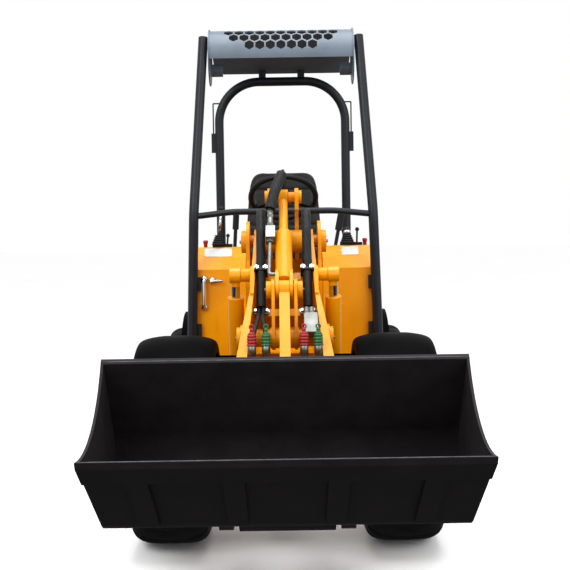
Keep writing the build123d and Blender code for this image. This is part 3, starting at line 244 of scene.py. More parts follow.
# %% Woven sleeve, with plated fittings below it on the tilt cylinder
def woven(name, steel_below=None):
    """Black weave from the product of two crossing sine waves; below a height, if given, plated steel."""
    yarn_mm = 7.0
    material = bpy.data.materials.new(name)
    material.use_nodes = True
    tree = material.node_tree
    shader = tree.nodes["Principled BSDF"]
    place = node(tree, "ShaderNodeTexCoord")
    waves = []
    for turn in (math.radians(45), math.radians(-45)):
        mapped = node(tree, "ShaderNodeMapping", [("Vector", place, "Object")], {"Rotation": (turn, 0.4, 0.0)})
        waves.append(node(tree, "ShaderNodeTexWave", [("Vector", mapped, "Vector")],
                          {"Scale": 1000.0 / yarn_mm / 20.0 * math.pi, "Distortion": 0.6, "Detail": 1.0}))
    weave = node(tree, "ShaderNodeMath", [(0, waves[0], "Fac"), (1, waves[1], "Fac")], operation="MULTIPLY")
    shade = node(tree, "ShaderNodeValToRGB", [("Fac", weave, "Value")])
    shade.color_ramp.elements[0].color = linear("#08090A")
    shade.color_ramp.elements[1].color = linear("#212428")
    bump = node(tree, "ShaderNodeBump", [("Height", weave, "Value")], {"Strength": 0.5, "Distance": 0.8 * MM})
    tree.links.new(bump.outputs["Normal"], shader.inputs["Normal"])
    shader.inputs["Roughness"].default_value = 0.62
    shader.inputs["Specular IOR Level"].default_value = 0.3
    if steel_below is None:
        tree.links.new(shade.outputs["Color"], shader.inputs["Base Color"])
        return material
    height = node(tree, "ShaderNodeSeparateXYZ", [("Vector", place, "Object")])
    mask = node(tree, "ShaderNodeMath", [(0, height, "Z")], {1: steel_below}, operation="LESS_THAN")
    colour = node(tree, "ShaderNodeMix", [("Factor", mask, "Value"), (6, shade, "Color")],
                  {7: linear("#8A8C89")}, data_type="RGBA")
    tree.links.new(colour.outputs[2], shader.inputs["Base Color"])
    tree.links.new(mask.outputs["Value"], shader.inputs["Metallic"])
    dull = node(tree, "ShaderNodeMapRange", [("Value", mask, "Value")], {"To Min": 0.62, "To Max": 0.42})
    tree.links.new(dull.outputs["Result"], shader.inputs["Roughness"])
    return material


SLEEVE = woven("woven_nylon_sleeve")
SLEEVE_END_Z = float(on_tilt(440, 62, 0)[2] - 0.014)
TILT_SLEEVE = woven("woven_sleeve_on_steel_fittings", SLEEVE_END_Z)
print("sleeve ends at", round(SLEEVE_END_Z, 3))

# %% [markdown]
# ## Finishes on the CAD pieces
# Each CAD node takes one finish. Its mesh is left as it is; only its material slot is filled.

# %% Give every CAD node its finish
NODE_FINISH = {
    ENAMEL: ["side_pods", "front_chassis", "rear_chassis", "lift_arms", "lift_barrels", "tilt_barrel", "tilt_lever",
             "tilt_link", "engine_hood", "seat_base", "steer_barrel", "tilt_rod", "lever_pin", "tilt_pin"],
    POWDER: ["front_posts", "rear_hoop"],
    ROOF_COAT: ["roof_panel"],
    BUCKET_COAT: ["bucket", "counterweight", "quick_coupler", "hinge_pins", "front_axle", "rear_axle"],
    FENDER: ["front_fenders", "rear_fenders"],
    PLASTIC: ["steering_wheel", "steering_column", "control_levers", "floor_plate"],
    ROD_AND_EYE: ["lift_rods"],
    CHROME: ["steer_rod"],
    ZINC: ["arm_couplers"],
    SLEEVE: ["arm_hoses"],
    TILT_SLEEVE: ["tilt_hose"],
    VINYL: ["seat_cushion", "seat_back"],
    IRON: ["engine_block"],
    RIM_COAT: [f"{end}_{hand}_rim" for end in ("front", "rear") for hand in ("right", "left")],
    RUBBER: [f"{end}_{hand}_tyre" for end in ("front", "rear") for hand in ("right", "left")],
}
for material, names in NODE_FINISH.items():
    for name in names:
        slots = frame["nodes"][name].data.materials
        slots.clear()
        slots.append(material)
print("finished nodes", sum(len(names) for names in NODE_FINISH.values()))


# %% [markdown]
# ## How the new pieces are made
# Each new piece is a surface of two parameters: a grid of points, worked out as one array. A lathe
# turns a profile about an axis, a tube carries a circle along a path, and a rounded block carries a
# squared-off ring through a thickness. Several grids may make one piece.

# %% Grids to pieces
def piece(name, grids, material, body, smooth=True):
    """Join grids of points (rows, columns, 3) to one mesh; columns close on themselves, poles and seams
    are merged, and faces are turned outwards. A piece that bends between two bodies gives no body here."""
    points, faces, start = [], [], 0
    for grid in grids:
        rows, cols = grid.shape[:2]
        index = start + np.arange(rows * cols).reshape(rows, cols)
        right = np.roll(index, -1, axis=1)
        points.append(grid.reshape(-1, 3))
        faces.append(np.stack([index[:-1], right[:-1], right[1:], index[1:]], axis=-1).reshape(-1, 4))
        start += rows * cols
    mesh = bpy.data.meshes.new(name)
    mesh.from_pydata(np.concatenate(points).tolist(), [], np.concatenate(faces).tolist())
    shape = bmesh.new()
    shape.from_mesh(mesh)
    bmesh.ops.remove_doubles(shape, verts=shape.verts, dist=1e-6)
    bmesh.ops.recalc_face_normals(shape, faces=shape.faces)
    shape.to_mesh(mesh)
    shape.free()
    mesh.polygons.foreach_set("use_smooth", np.full(len(mesh.polygons), smooth))
    mesh.materials.append(material)
    made = bpy.data.objects.new(name, mesh)
    bpy.context.scene.collection.objects.link(made)
    if body:
        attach(made, body)
    print("piece", name, len(mesh.polygons), "faces")
    return made


# %% [markdown]
# The three kinds of shape share one idea: a small ring of points is placed again and again, and each row
# of the grid is one ring. Where a ring shrinks to a point the end is closed, so no cap is made apart.

# %% Lathes, tubes and rounded blocks
def axes_for(direction):
    """Two unit vectors square to a direction and to each other, turning right-handed about it."""
    w = np.asarray(direction, float) / np.linalg.norm(direction)
    helper = np.array((1.0, 0, 0)) if abs(w[0]) < 0.9 else np.array((0, 0, 1.0))
    u = np.cross(helper, w)
    u /= np.linalg.norm(u)
    return u, np.cross(w, u), w


def lathe(profile, origin, direction, sides=24):
    """Turn (radius, height) rows, in millimetres, about a direction: point = origin + r(cos, sin) + h."""
    u, v, w = axes_for(direction)
    radius, height = np.array(profile, float).T * MM
    angle = np.linspace(0, 2 * np.pi, sides, endpoint=False)
    ring = np.cos(angle)[:, None] * u + np.sin(angle)[:, None] * v
    return np.asarray(origin) + radius[:, None, None] * ring[None] + height[:, None, None] * w


def tube(path, radius_mm, sides=12):
    """Circle of one radius carried along a path, square to it, with its two ends closed to points."""
    path = np.asarray(path, float)
    run = np.gradient(path, axis=0)
    run /= np.linalg.norm(run, axis=1)[:, None]
    spread = path - path.mean(axis=0)
    flat = np.linalg.svd(spread)[2][2]
    u = flat - run * (run @ flat)[:, None]
    u /= np.linalg.norm(u, axis=1)[:, None]
    v = np.cross(run, u)
    angle = np.linspace(0, 2 * np.pi, sides, endpoint=False)
    ring = np.cos(angle)[None, :, None] * u[:, None] + np.sin(angle)[None, :, None] * v[:, None]
    wall = path[:, None] + radius_mm * MM * ring
    ends = [np.repeat(path[i:i + 1, None], sides, axis=1) for i in (0, len(path) - 1)]
    return np.concatenate([ends[0], wall, ends[1]])


def arc_path(centre, start, end, across, up, radius_mm, count=24):
    """Points of an arc: centre + radius (cos across + sin up) from one angle to another, in degrees."""
    angle = np.radians(np.linspace(start, end, count))[:, None]
    return np.asarray(centre) + radius_mm * MM * (np.cos(angle) * across + np.sin(angle) * up)


def squared(value, power):
    """Signed power of a sine or cosine: a small power squares a circle off."""
    return np.sign(value) * np.abs(value) ** power


def rounded_block(centre, across, along, half_mm, power=0.22, edge_mm=2.5, sides=56):
    """Squared-off ring of two half sizes carried through a third, drawn in at both faces by an edge."""
    across, along = (np.asarray(a, float) / np.linalg.norm(a) for a in (across, along))
    a, b, c = half_mm
    angle = np.linspace(0, 2 * np.pi, sides, endpoint=False)
    inset = edge_mm * np.array((0.0, 1.0, 0.0, 0.0, 1.0, 0.0))[:, None]
    share = np.array((0.0, 1.0, 1.0, 1.0, 1.0, 0.0))[:, None]
    level = np.array((-c, -c, edge_mm - c, c - edge_mm, c, c))[:, None, None]
    x = share * (a - inset) * squared(np.cos(angle), power)
    y = share * (b - inset) * squared(np.sin(angle), power)
    return np.asarray(centre) + MM * (x[..., None] * across + y[..., None] * along + level * np.cross(across, along))


HEX_BOLT = [(0.0, 0.0), (12.0, 0.0), (12.0, 1.5), (8.5, 1.5), (8.5, 6.5), (7.0, 7.5), (0.0, 7.5)]
print("shape helpers ready")

# %% [markdown]
# ## Tyres
# A loader's tyre has a wide, square-shouldered section with a block tread. The section is a
# superellipse that narrows at the bead; the tread sinks grooves between blocks, which follow slanted
# bars that meet the shoulder. The CAD tyre gives the place, height and width.

# %% Tyres with a block tread
def tyre_grid(low, high, bars=26, turns=312, section=72):
    """Superellipse section turned about the axle; on the crown a smooth step function of
    (angle times bars + slant times side distance) lifts blocks out of the groove depth."""
    centre = (low + high) / 2
    outer, half = (high[2] - low[2]) / 2, (high[0] - low[0]) / 2
    bead = 0.1903
    s = np.linspace(0, 2 * np.pi, section, endpoint=False)[None, :]
    theta = np.linspace(0, 2 * np.pi, turns + 1)[:, None]
    up = squared(np.sin(s), 0.62)
    side = half * 0.985 * squared(np.cos(s), 0.5) * np.where(up < 0, 1 - 0.27 * up ** 2, 1.0)
    radius = (outer + bead) / 2 + (outer - bead) / 2 * up
    bar = (theta * bars / (2 * np.pi) + 0.55 * np.abs(side) / half) % 1.0
    step = np.clip((np.abs(bar - 0.5) - 0.19) / 0.05, 0, 1)
    rib = np.clip((0.035 - np.abs(np.abs(side) - 0.07)) / 0.006, 0, 1)
    crown = np.clip((radius - (outer - 0.05)) / 0.02, 0, 1)
    radius = radius - 0.014 * crown * (1 - np.maximum(step, 0.35 * rib))
    return centre + np.stack([side + 0 * theta, radius * np.cos(theta), radius * np.sin(theta)], axis=-1)


WHEELS = [(end, hand, side) for end in ("front", "rear") for hand, side in (("right", -1), ("left", 1))]
for end, hand, side in WHEELS:
    low, high = (np.array(corner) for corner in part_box(f"{end}_{hand}_tyre"))
    tread = piece(f"{end}_{hand}_tread", [tyre_grid(low, high)], RUBBER, f"{end}_{hand}_wheel")
    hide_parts(f"{end}_{hand}_tyre")

# %% [markdown]
# ## Front fenders
# A front fender is moulded: domed across, with rounded shoulders, short side skirts and a front lip that
# arches over the tyre. The cross section is a superellipse on a dome, carried round the wheel's arc;
# an inner copy of it, one wall nearer the axle, closes the sheet. A tube to the tower holds each one.

# %% Domed fenders and their stays
FENDER_AXLE = at(750, 420)
FENDER_X, FENDER_HALF, FENDER_R, FENDER_DOME, FENDER_SKIRT, FENDER_WALL = 457.0, 165.0, 400.0, 20.0, 40.0, 5.0


def fender_grid(side, rows=48, cols=72):
    """Closed section carried round the axle: x = half squared cosine, height = skirt squared sine plus a
    dome that falls with x squared; the lip's angle is larger in the middle, so the lip is arched."""
    s = np.radians(np.linspace(-6, 186, cols))
    turn = np.linspace(0, 1, rows)[:, None]
    x = FENDER_HALF * squared(np.cos(s), 0.28)
    dome = FENDER_DOME * (1 - (x / FENDER_HALF) ** 2)
    angle = np.radians((1 - turn) * (59 - 9 * (x / FENDER_HALF) ** 2) + turn * 140)
    skins = []
    for wall in (0.0, FENDER_WALL / 2, FENDER_WALL):
        tall = FENDER_R + dome + (FENDER_SKIRT - wall) * squared(np.sin(s), 0.36)
        place_x = side * (FENDER_X + x * (1 - wall / FENDER_HALF)) + 0 * angle
        skins.append(np.stack([place_x * MM, -tall * np.cos(angle) * MM, tall * np.sin(angle) * MM], axis=-1))
    outer, middle, inner = skins
    loop = np.concatenate([outer, inner[:, ::-1]], axis=1)
    ends = np.concatenate([middle, middle[:, ::-1]], axis=1)
    return FENDER_AXLE + np.concatenate([ends[:1], loop, ends[-1:]])


STAY = [(0.0, 0.0), (18.0, 0.0), (18.0, 417.0), (0.0, 417.0)]
STAY_TURN, STAY_REACH, STAY_FOOT_X = math.radians(132), 0.432, 0.173
stay_foot = FENDER_AXLE + STAY_REACH * np.array((0.0, -math.cos(STAY_TURN), math.sin(STAY_TURN)))
stays = [lathe(STAY, stay_foot + side * STAY_FOOT_X * SIDE, side * SIDE, 28) for side in (-1, 1)]
fenders = piece("domed_front_fenders", [fender_grid(-1), fender_grid(1), *stays], FENDER, "front_frame")
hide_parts("front_fenders")

# %% [markdown]
# ## Wheel nuts
# Each disc is held by a ring of nuts on studs. A nut is a lathe of six sides, and the ring is the same
# profile placed round the axle.

# %% Wheel nuts
NUT = [(0.0, 0.0), (19.0, 0.0), (19.0, 3.0), (15.0, 4.0), (15.0, 16.0), (8.5, 17.0), (8.5, 24.0), (7.0, 26.0),
       (0.0, 26.0)]
NUT_RING, NUT_STAND = 88.0, 22.0
for end, hand, side in WHEELS:
    low, high = (np.array(corner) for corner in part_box(f"{end}_{hand}_rim"))
    disc = (low + high) / 2 + np.array((side * NUT_STAND * MM, 0, 0))
    turn = np.linspace(0, 2 * np.pi, 8, endpoint=False)
    nuts = [lathe(NUT, disc + NUT_RING * MM * np.array((0, math.cos(a), math.sin(a))), (side, 0, 0), 6) for a in turn]
    piece(f"{end}_{hand}_nuts", nuts, ZINC, f"{end}_{hand}_wheel", smooth=False)


# %% [markdown]
# ## Seat
# The seat is padded foam under vinyl. A cushion swells between its seams, so the form starts a little
# small, is remeshed to even faces, and is blown up by a short cloth simulation. Sewn channels are
# pressed in afterwards, because a remesh would wipe them out.

# %% Padded forms
def pad_grid(half, power, rows=40, cols=96):
    """Superellipsoid: cosines and sines of two angles raised to a small power, which squares them off."""
    lat = np.linspace(-np.pi / 2, np.pi / 2, rows)[:, None]
    lon = np.linspace(0, 2 * np.pi, cols, endpoint=False)[None, :]
    ring = squared(np.maximum(np.cos(lat), 0.0), power)
    x = half[0] * ring * squared(np.cos(lon), power)
    y = half[1] * ring * squared(np.sin(lon), power)
    z = half[2] * squared(np.sin(lat), power) + 0 * lon
    return np.stack([x, y, z], axis=-1)


def coordinates(mesh, what="co"):
    """Vertex places, or another vertex vector, of a mesh as one array."""
    flat = np.empty(len(mesh.vertices) * 3, np.float32)
    mesh.vertices.foreach_get(what, flat)
    return flat.reshape(-1, 3)


def remeshed(made, size_mm):
    """Replace a mesh by its own voxel remesh, so that cloth has even faces to move."""
    voxel = made.modifiers.new("voxels", "REMESH")
    voxel.mode = "VOXEL"
    voxel.voxel_size = size_mm * MM
    shape = made.evaluated_get(bpy.context.evaluated_depsgraph_get())
    mesh = bpy.data.meshes.new_from_object(shape)
    made.modifiers.remove(voxel)
    mesh.materials.clear()
    mesh.materials.append(VINYL)
    made.data = mesh


def inflated(made, pressure, cap_mm):
    """Blow the shape up as cloth for 20 frames, then limit how far each point has moved."""
    before = coordinates(made.data)
    cloth = made.modifiers.new("cloth", "CLOTH")
    cloth.settings.use_pressure = True
    cloth.settings.uniform_pressure_force = pressure
    cloth.settings.effector_weights.gravity = 0.0
    for step in range(1, 21):
        bpy.context.scene.frame_set(step)
    shape = made.evaluated_get(bpy.context.evaluated_depsgraph_get())
    move = coordinates(shape.data) - before
    made.modifiers.remove(cloth)
    bpy.context.scene.frame_set(1)
    length = np.linalg.norm(move, axis=1, keepdims=True)
    move *= np.minimum(1.0, cap_mm * MM / np.maximum(length, 1e-9))
    made.data.vertices.foreach_set("co", (before + move).ravel())
    return float(length.max())


def pad(name, grid, node_name, channels, face):
    """Padded piece in the place of a CAD solid; channels are (centre, direction across, depth in mm)
    planes where the cover is sewn down on the side that looks along face."""
    made = piece(name, [grid], VINYL, "rear_frame")
    remeshed(made, 6.0)
    print(name, "swelled", round(inflated(made, 4.0, 10.0), 4))
    points, normals = coordinates(made.data), coordinates(made.data, "normal")
    shown = np.clip(normals @ np.asarray(face), 0, 1)
    for centre, across, depth in channels:
        away = (points - centre) @ np.asarray(across)
        points = points - normals * (shown * depth * MM * np.exp(-(away / 0.009) ** 2))[:, None]
    made.data.vertices.foreach_set("co", points.astype(np.float32).ravel())
    made.data.polygons.foreach_set("use_smooth", np.full(len(made.data.polygons), True))
    soft = made.modifiers.new("smooth", "SUBSURF")
    soft.levels = soft.render_levels = 1
    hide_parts(node_name)
    return made


SWELL = 9.0 * MM
low, high = (np.array(corner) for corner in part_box("seat_cushion"))
middle = (low + high) / 2
cushion = pad_grid((high - low) / 2 - SWELL, 0.28) + middle
pad("seat_cushion_pad", cushion, "seat_cushion",
    [(middle + (x, 0, 0), (1, 0, 0), 5.0) for x in (-0.11, 0.0, 0.11)], (0, 0, 1))

# %% [markdown]
# The seat back narrows towards its top and leans back by 8 degrees. Its grid is the same superellipsoid
# with its width and lean as functions of height.

# %% Seat back
LEAN = math.radians(8)
low, high = (np.array(corner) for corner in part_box("seat_back"))
tall, wide = high[2] - low[2], (high[0] - low[0]) / 2
back = pad_grid((1.0, 0.043 - SWELL, tall / 2 - SWELL), 0.3)
share = back[..., 2] / tall + 0.5
width = np.interp(share, [0, 0.32, 0.5, 1.0], [0.93, 1.0, 1.0, 0.86]) * wide - SWELL
face_y = low[1] + 0.0425
back = np.stack([back[..., 0] * width, face_y + back[..., 1] + math.tan(LEAN) * tall * share,
                 low[2] + tall * share], axis=-1)
centre = np.array((0, face_y + math.tan(LEAN) * tall / 2, low[2] + tall / 2))
pad("seat_back_pad", back, "seat_back",
    [(centre + (0, 0, h), (0, 0, 1), 5.0) for h in (-0.1, 0.0, 0.1)], (0, -1, 0))

# %% [markdown]
# ## Couplers
# Hydraulic couplers wear ribbed rubber caps, red and green by pairs, so that hoses are not crossed.
# A cap is a lathe whose radius ripples with height, with a pull ring on top. The plated body under it
# stands on the coupler's collar on the arm's lower cross plate.

# %% Coupler bodies and caps
COUPLER_BODY = [(0.0, 0.0), (19.5, 0.0), (19.5, 18.0), (15.5, 20.0), (15.5, 40.0), (18.0, 42.0), (18.0, 90.0),
                (0.0, 90.0)]
height = np.linspace(0, 52, 48)
ripple = 20.0 + 1.5 * np.sin(height / 52 * np.pi * 8) - 4.0 * (height / 52) ** 4
CAP = [(0.0, 0.0), *zip(ripple, height), (9.0, 55.0), (7.0, 62.0), (9.0, 66.0), (6.0, 74.0), (0.0, 76.0)]
UPRIGHT = np.array((0.0, 0.0, 1.0))
COUPLER_X = (-140, -80, 80, 140)
COLLAR_TOP, CAP_STAND, LOOP_STAND = 0.054, 0.078, 0.079


def coupler_foot(x):
    """Place on a coupler's collar, x to the side."""
    return on_arm(790, 0, x) + COLLAR_TOP * UPRIGHT


bodies = [lathe(COUPLER_BODY, coupler_foot(x), UPRIGHT, 28) for x in COUPLER_X]
piece("coupler_bodies", bodies, ZINC, "lift_arm")
for colour, material, places in (("red", RED_CAP, (-140, 80)), ("green", GREEN_CAP, (-80, 140))):
    caps = []
    for x in places:
        foot = coupler_foot(x) + CAP_STAND * UPRIGHT
        loop = arc_path(foot + LOOP_STAND * UPRIGHT, -90, 270, SIDE, UPRIGHT, 9.0, 25)
        caps += [lathe(CAP, foot, UPRIGHT, 28), tube(loop, 3.2, 8)]
    piece(f"{colour}_coupler_caps", caps, material, "lift_arm")

# %% [markdown]
# ## Fittings
# Where a hose meets steel there is a crimped ferrule and a hexagon nut, both plated. The ferrule is a
# lathe with shallow rings, the nut one with six sides.

# %% Hose fittings and valve block
FERRULE = [(0.0, 0.0), (13.0, 0.0), (14.0, 3.0), (13.0, 9.0), (14.0, 12.0), (13.0, 18.0), (14.0, 22.0),
           (12.0, 30.0), (0.0, 30.0)]
NUT_BODY = [(0.0, 0.0), (14.0, 0.0), (16.0, 2.0), (16.0, 16.0), (14.0, 18.0), (0.0, 18.0)]
fittings = []
for x in COUPLER_X:
    fittings += [lathe(FERRULE, on_arm(722, -9, x), ARM_DIR, 24), lathe(NUT_BODY, on_arm(744, -9, x), ARM_DIR, 6)]
piece("arm_hose_fittings", fittings, ZINC, "lift_arm", smooth=False)
TILT_NUTS = [(388, 54, -60), (340, 46, -60), (252, 35, -61)]
tilt_fittings = [lathe(FERRULE, on_tilt(410, 57, -60), TILT_DIR, 24)]
tilt_fittings += [lathe(NUT_BODY, on_tilt(*place), TILT_DIR, 6) for place in TILT_NUTS]
piece("tilt_hose_fittings", tilt_fittings, ZINC, "tilt_barrel", smooth=False)
valve = [rounded_block(on_arm(575, 80, 112), SIDE, ARM_DIR, (31.0, 56.0, 20.0))]
for x in (94, 116):
    valve += [lathe(NUT_BODY, on_arm(503, 72, x), ARM_DIR, 6), lathe(FERRULE, on_arm(476, 72, x), ARM_DIR, 24)]
piece("valve_block", valve, ZINC, "lift_arm", smooth=False)

# %% [markdown]
# The sleeves are held to the arm by clamps: black plastic blocks on a cross bar, drawn down by two
# bolts each. A block is a squared-off ring carried through its thickness.

# %% Hose clamps
CLAMP_ALONG, CLAMP_ABOVE = 236.0, 56.0
bar = [rounded_block(on_arm(CLAMP_ALONG + 8, CLAMP_ABOVE - 36, 0), SIDE, ARM_DIR, (133.0, 24.0, 6.0), 0.12)]
piece("clamp_bar", bar, ENAMEL, "lift_arm", smooth=False)
blocks = [rounded_block(on_arm(CLAMP_ALONG, CLAMP_ABOVE, side * 104), SIDE, ARM_DIR, (30.0, 17.0, 27.0))
          for side in (-1, 1)]
piece("hose_clamps", blocks, PLASTIC, "lift_arm", smooth=False)
bolts = [lathe(HEX_BOLT, on_arm(CLAMP_ALONG, CLAMP_ABOVE + 27, side * 104 + dx), ARM_UP, 6)
         for side in (-1, 1) for dx in (-20, 20)]
lower = [lathe(HEX_BOLT, on_arm(420, -6, side * 104 + dx), ARM_UP, 6) for side in (-1, 1) for dx in (-26, 26)]
piece("clamp_bolts", bolts + lower, CHROME, "lift_arm", smooth=False)

# %% [markdown]
# ## Hose tails
# A sleeve ends where its hoses bend. The arm's hoses go over the pivot and down behind it to a plated
# block on the tower's inner face, so they bend between the arm and the front frame as the arm lifts.
# The tilt hose goes over the bracket to a port in the rod's eye, and gives way as the rod slides. The
# line of a hose is a NURBS spline, which is smooth without any rounding by hand.

# %% Tails of the hoses and their ports
HOSE_R = 9.0


def route(points):
    """Smooth line of a quadratic NURBS spline whose control points are given, read back as points."""
    line = bpy.data.curves.new("route", "CURVE")
    line.dimensions = "3D"
    spline = line.splines.new("NURBS")
    spline.points.add(len(points) - 1)
    spline.points.foreach_set("co", np.c_[points, np.ones(len(points))].ravel())
    spline.order_u, spline.use_endpoint_u = 3, True
    holder = bpy.data.objects.new("route", line)
    wire = bpy.data.meshes.new_from_object(holder)
    smooth = coordinates(wire).astype(float)
    bpy.data.objects.remove(holder)
    bpy.data.curves.remove(line)
    bpy.data.meshes.remove(wire)
    return smooth


ARM_TAIL = [(262, 1399), (200, 1402), (120, 1390), (84, 1310), (92, 1210), (130, 1150), (190, 1128)]
tails = [tube(route([at(u, z, side * x) for u, z in ARM_TAIL]), HOSE_R, 14) for side in (-1, 1) for x in (94, 114)]
arm_tails = piece("arm_hose_tails", tails, GRIP, None)
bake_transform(arm_tails)
ports = [rounded_block(at(206, 1122, side * 120), SIDE, UPRIGHT, (37.0, 20.0, 22.0)) for side in (-1, 1)]
piece("tower_port_blocks", ports, ZINC, "front_frame", smooth=False)
TILT_TAIL = [(590, 102, -8), (650, 106, 0), (692, 58, 0), (704, -34, 0), (672, -104, 0), (606, -116, 0),
             (580, -70, 0), (580, -36, 0)]
tilt_tail = piece("tilt_hose_tail", [tube(route([on_tilt(*place) for place in TILT_TAIL]), HOSE_R, 14)], GRIP, None)
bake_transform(tilt_tail)
eye_port = [lathe(NUT_BODY, on_tilt(580, -38, 0), -TILT_OUT, 6),
            lathe(FERRULE, on_tilt(580, -52, 0), -TILT_OUT, 20)]
piece("rod_eye_port", eye_port, ZINC, "tilt_rod", smooth=False)

# %% [markdown]
# ## Controls
# The consoles carry a pale plate, plated lever shanks with black knobs, a rubber gaiter with folds and
# small coloured caps. A gaiter is a cone whose radius ripples, as folded rubber does.

# %% Console pieces
CONSOLE_Z = 1230.0
fold = np.linspace(0, 1, 36)
GAITER = [(0.0, 0.0), *zip(38 - 20 * fold + 2.4 * np.sin(fold * np.pi * 9), 50 * fold), (0.0, 50.5)]
piece("joystick_gaiters", [lathe(GAITER, at(-440, CONSOLE_Z + 14, 335), UPRIGHT, 36),
                           lathe(GAITER, at(-431, CONSOLE_Z + 14, -344), UPRIGHT, 36)],
      GRIP, "rear_frame")
SHANK = [(0.0, 0.0), (7.2, 0.0), (7.2, 108.0), (0.0, 108.0)]
lean = at(-450, CONSOLE_Z + 200, -330) - at(-430, CONSOLE_Z + 8, -345)
KNURL = [(0.0, 0.0), (21.0, 0.0), (23.0, 3.0), (23.0, 15.0), (19.0, 19.0), (0.0, 20.0)]
piece("lever_shanks", [lathe(SHANK, at(-430, CONSOLE_Z + 8, -345) + lean * 0.34, lean, 20),
                       lathe(KNURL, at(-443, CONSOLE_Z + 62, 332), UPRIGHT, 16)], CHROME, "rear_frame")
SLOPE = at(-410, CONSOLE_Z) - at(-345, 1173)
SLOPE_MID = (at(-410, CONSOLE_Z) + at(-345, 1173)) / 2
plates = [rounded_block(SLOPE_MID + (x * MM, 0, 0), SIDE, SLOPE, (wide, 32.0, 3.0), 0.2, 1.0)
          for x, wide in ((-345, 72.0), (345, 44.0))]
piece("console_plates", plates, PALE, "rear_frame", smooth=False)
BUTTON = [(0.0, 0.0), (10.0, 0.0), (10.0, 20.0), (13.0, 22.0), (13.0, 34.0), (9.0, 38.0), (0.0, 38.0)]
piece("red_knobs", [lathe(BUTTON, at(-446, CONSOLE_Z - 1, x), UPRIGHT, 24) for x in (-415, 428)],
      RED_CAP, "rear_frame")

# %% [markdown]
# The right-hand front panel has a plated grab handle with two feet and a latch beside it. The handle is
# a tube along a path that leaves the panel square and turns upright. The rounded edge of the bolted
# cover in each panel shows as a raised bead.

# %% Grab handle, latches and panel covers
FACE_U = -275.0
OUT = np.array((0.0, -1.0, 0.0))
HANDLE_X, HANDLE_LOW, HANDLE_HIGH, HANDLE_OUT = -414.0, 925.0, 1070.0, 30.0
low_bend = arc_path(at(FACE_U + HANDLE_OUT - 14, HANDLE_LOW + 14, HANDLE_X), -90, 0, OUT, UPRIGHT, 14.0, 10)
high_bend = arc_path(at(FACE_U + HANDLE_OUT - 14, HANDLE_HIGH - 14, HANDLE_X), 0, 90, OUT, UPRIGHT, 14.0, 10)
handle_ends = [[at(FACE_U, z, HANDLE_X)] for z in (HANDLE_LOW, HANDLE_HIGH)]
handle = np.concatenate([handle_ends[0], low_bend, high_bend, handle_ends[1]])
FOOT = [(0.0, 0.0), (19.0, 0.0), (19.0, 6.0), (15.0, 12.0), (12.0, 20.0), (0.0, 20.0)]
feet = [lathe(FOOT, at(FACE_U, z, HANDLE_X), OUT, 24) for z in (HANDLE_LOW, HANDLE_HIGH)]
latch = [lathe(FOOT, at(FACE_U, 1062, -372), OUT, 24),
         rounded_block(at(FACE_U + 22, 1058, -350), SIDE, UPRIGHT, (34.0, 7.0, 4.0), 0.5, 1.5)]
piece("grab_handle", [tube(handle, 9.0), *feet, *latch], CHROME, "rear_frame")
beads = []
for side in (-1, 1):
    bend = arc_path(at(FACE_U, 800, side * 212), 90, 0, SIDE * side, UPRIGHT, 128.0, 30)
    beads.append(tube(np.concatenate([bend, [at(FACE_U, 700, side * 340), at(FACE_U, 520, side * 340)]]), 4.0, 10))
piece("cover_edges", beads, ENAMEL, "rear_frame")

# %% [markdown]
# ## Bucket edges
# Soil rubs the paint off a bucket's lip and cutting edge first, and these edges catch the light, so both show a thin
# bright line: worn steel, and with it a painted highlight. Each is a slim rod along the edge, as long as the bucket
# is wide.

# %% Worn edges with a painted highlight
low, high = (np.array(corner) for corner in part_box("bucket"))
reach = np.linspace(low[0] + 0.004, high[0] - 0.004, 24)
LIP, CUTTING_EDGE = at(1531.0, 865.0), at(2069.5, 619.5)
edges = [np.stack([reach, np.full(24, p[1]), np.full(24, p[2])], axis=-1) for p in (LIP, CUTTING_EDGE)]
# Painted highlight: a light grey line along the lip and the cutting edge, partly worn steel.
piece("bucket_worn_and_highlit_edges", [tube(edge, 2.6, 8) for edge in edges], WORN_STEEL_AND_HIGHLIGHT, "bucket")

# %% [markdown]
# ## Pin bolts
# Every pin of the linkage is kept by a bolt and washer in its end, and the hinge plates are bolted up.

# %% Bolts on the pins
PIN_ENDS = [(ARM_PIVOT, 199.0, "front_frame"), (joint_at["lever_pin"], 208.0, "lever_pin"),
            (joint_at["tilt_pin"], 79.0, "tilt_pin"), (joint_at["tilt"], 274.0, "hinge_pin")]
for centre, x, body in PIN_ENDS:
    heads = [lathe(HEX_BOLT, centre + side * x * MM * SIDE, side * SIDE, 6) for side in (-1, 1)]
    piece(f"{body}_bolts", heads, ZINC, body, smooth=False)

# %% [markdown]
# ## Stage
# A pale floor runs far past the machine, the world is a white sky over dark ground, and three large soft
# lamps shape it: one high in front to the left, one to the right, and one above. The floor is kept out
# of the bounced light, because a machine that stands outdoors is dark on its under sides.

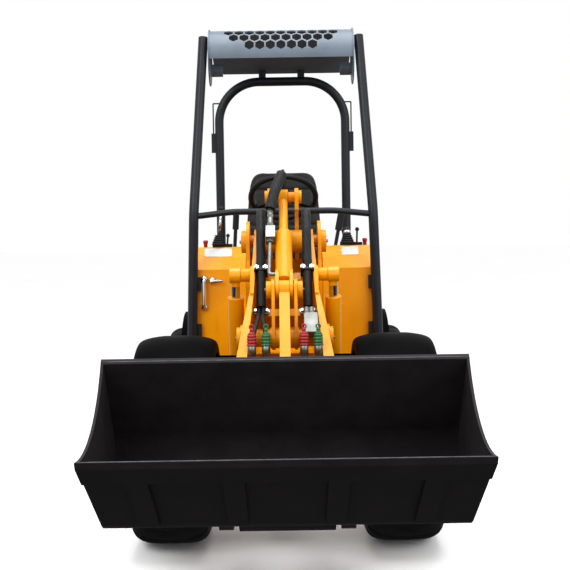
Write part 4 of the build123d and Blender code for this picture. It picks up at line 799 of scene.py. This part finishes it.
# %% Floor, world and lamps
floor_mesh = bpy.data.meshes.new("floor")
FLOOR_REACH = 60.0
floor_mesh.from_pydata([(sx * FLOOR_REACH, sy * FLOOR_REACH, 0) for sx, sy in ((-1, -1), (1, -1), (1, 1), (-1, 1))],
                       [], [(0, 1, 2, 3)])
floor_mesh.materials.append(finish("pale_studio_floor", ("#FFFFFF", "#FCFCFC"), 30.0, (0.85, 0.95), 0.02, 900.0))
floor = bpy.data.objects.new("floor", floor_mesh)
bpy.context.scene.collection.objects.link(floor)
floor.visible_diffuse = floor.visible_glossy = False
world = bpy.data.worlds.new("studio")
world.use_nodes = True
sky = world.node_tree.nodes["Background"]
facing = node(world.node_tree, "ShaderNodeTexCoord")
height = node(world.node_tree, "ShaderNodeSeparateXYZ", [("Vector", facing, "Generated")])
share = node(world.node_tree, "ShaderNodeMapRange", [("Value", height, "Z")],
             {"From Min": -0.30, "From Max": -0.04, "To Min": 0.12, "To Max": 1.0})
world.node_tree.links.new(share.outputs["Result"], sky.inputs["Strength"])
sky.inputs["Color"].default_value = (1, 1, 1, 1)
bpy.context.scene.world = world
bpy.context.scene.view_settings.view_transform = "Standard"


def lamp(name, place, aim, size, watts):
    """Square area lamp of a size in metres that looks from a place to an aim."""
    light = bpy.data.lights.new(name, "AREA")
    light.size, light.energy = size, watts
    made = bpy.data.objects.new(name, light)
    bpy.context.scene.collection.objects.link(made)
    _, _, w = axes_for(np.subtract(place, aim))
    u = np.cross((0.0, 1.0, 0.0) if abs(w[2]) > 0.95 else (0, 0, 1.0), w)
    u /= np.linalg.norm(u)
    turn = np.stack([u, np.cross(w, u), w], axis=1)
    made.matrix_world = Matrix.Translation(place) @ Matrix(turn.tolist()).to_4x4()
    return made


lamp("key", (-3.5, -4.5, 5.0), (0, -0.3, 1.0), 3.0, 210)
lamp("fill", (4.2, -4.0, 3.5), (0, -0.3, 1.0), 3.5, 130)
lamp("top", (0.3, 0.0, 6.0), (0.0, 0.0, 1.0), 4.0, 240)

# %% [markdown]
# ## Camera
# The photograph is taken from straight ahead, a little above the bucket, with a mild telephoto view
# and a slight tilt of the horizon. The values were fitted to the places of the bucket's corners, the
# tyres and the guard frame, for an image of 570 by 570.

# %% Camera
FOCAL_PX, IMAGE_PX = 1119.4, 570.0
YAW, PITCH, ROLL = 0.0011, -0.0537, 0.0155
CAMERA_AT = (0.0085, -5.133, 1.3425)
data = bpy.data.cameras.new("camera")
data.sensor_width = 36.0
data.lens = FOCAL_PX / IMAGE_PX * data.sensor_width
camera = bpy.data.objects.new("camera", data)
bpy.context.scene.collection.objects.link(camera)
camera.matrix_world = (Matrix.Translation(CAMERA_AT) @ Matrix.Rotation(YAW, 4, "Z")
                       @ Matrix.Rotation(math.pi / 2 + PITCH, 4, "X") @ Matrix.Rotation(-ROLL, 4, "Z"))
bpy.context.scene.camera = camera
print("camera lens", round(data.lens, 2))
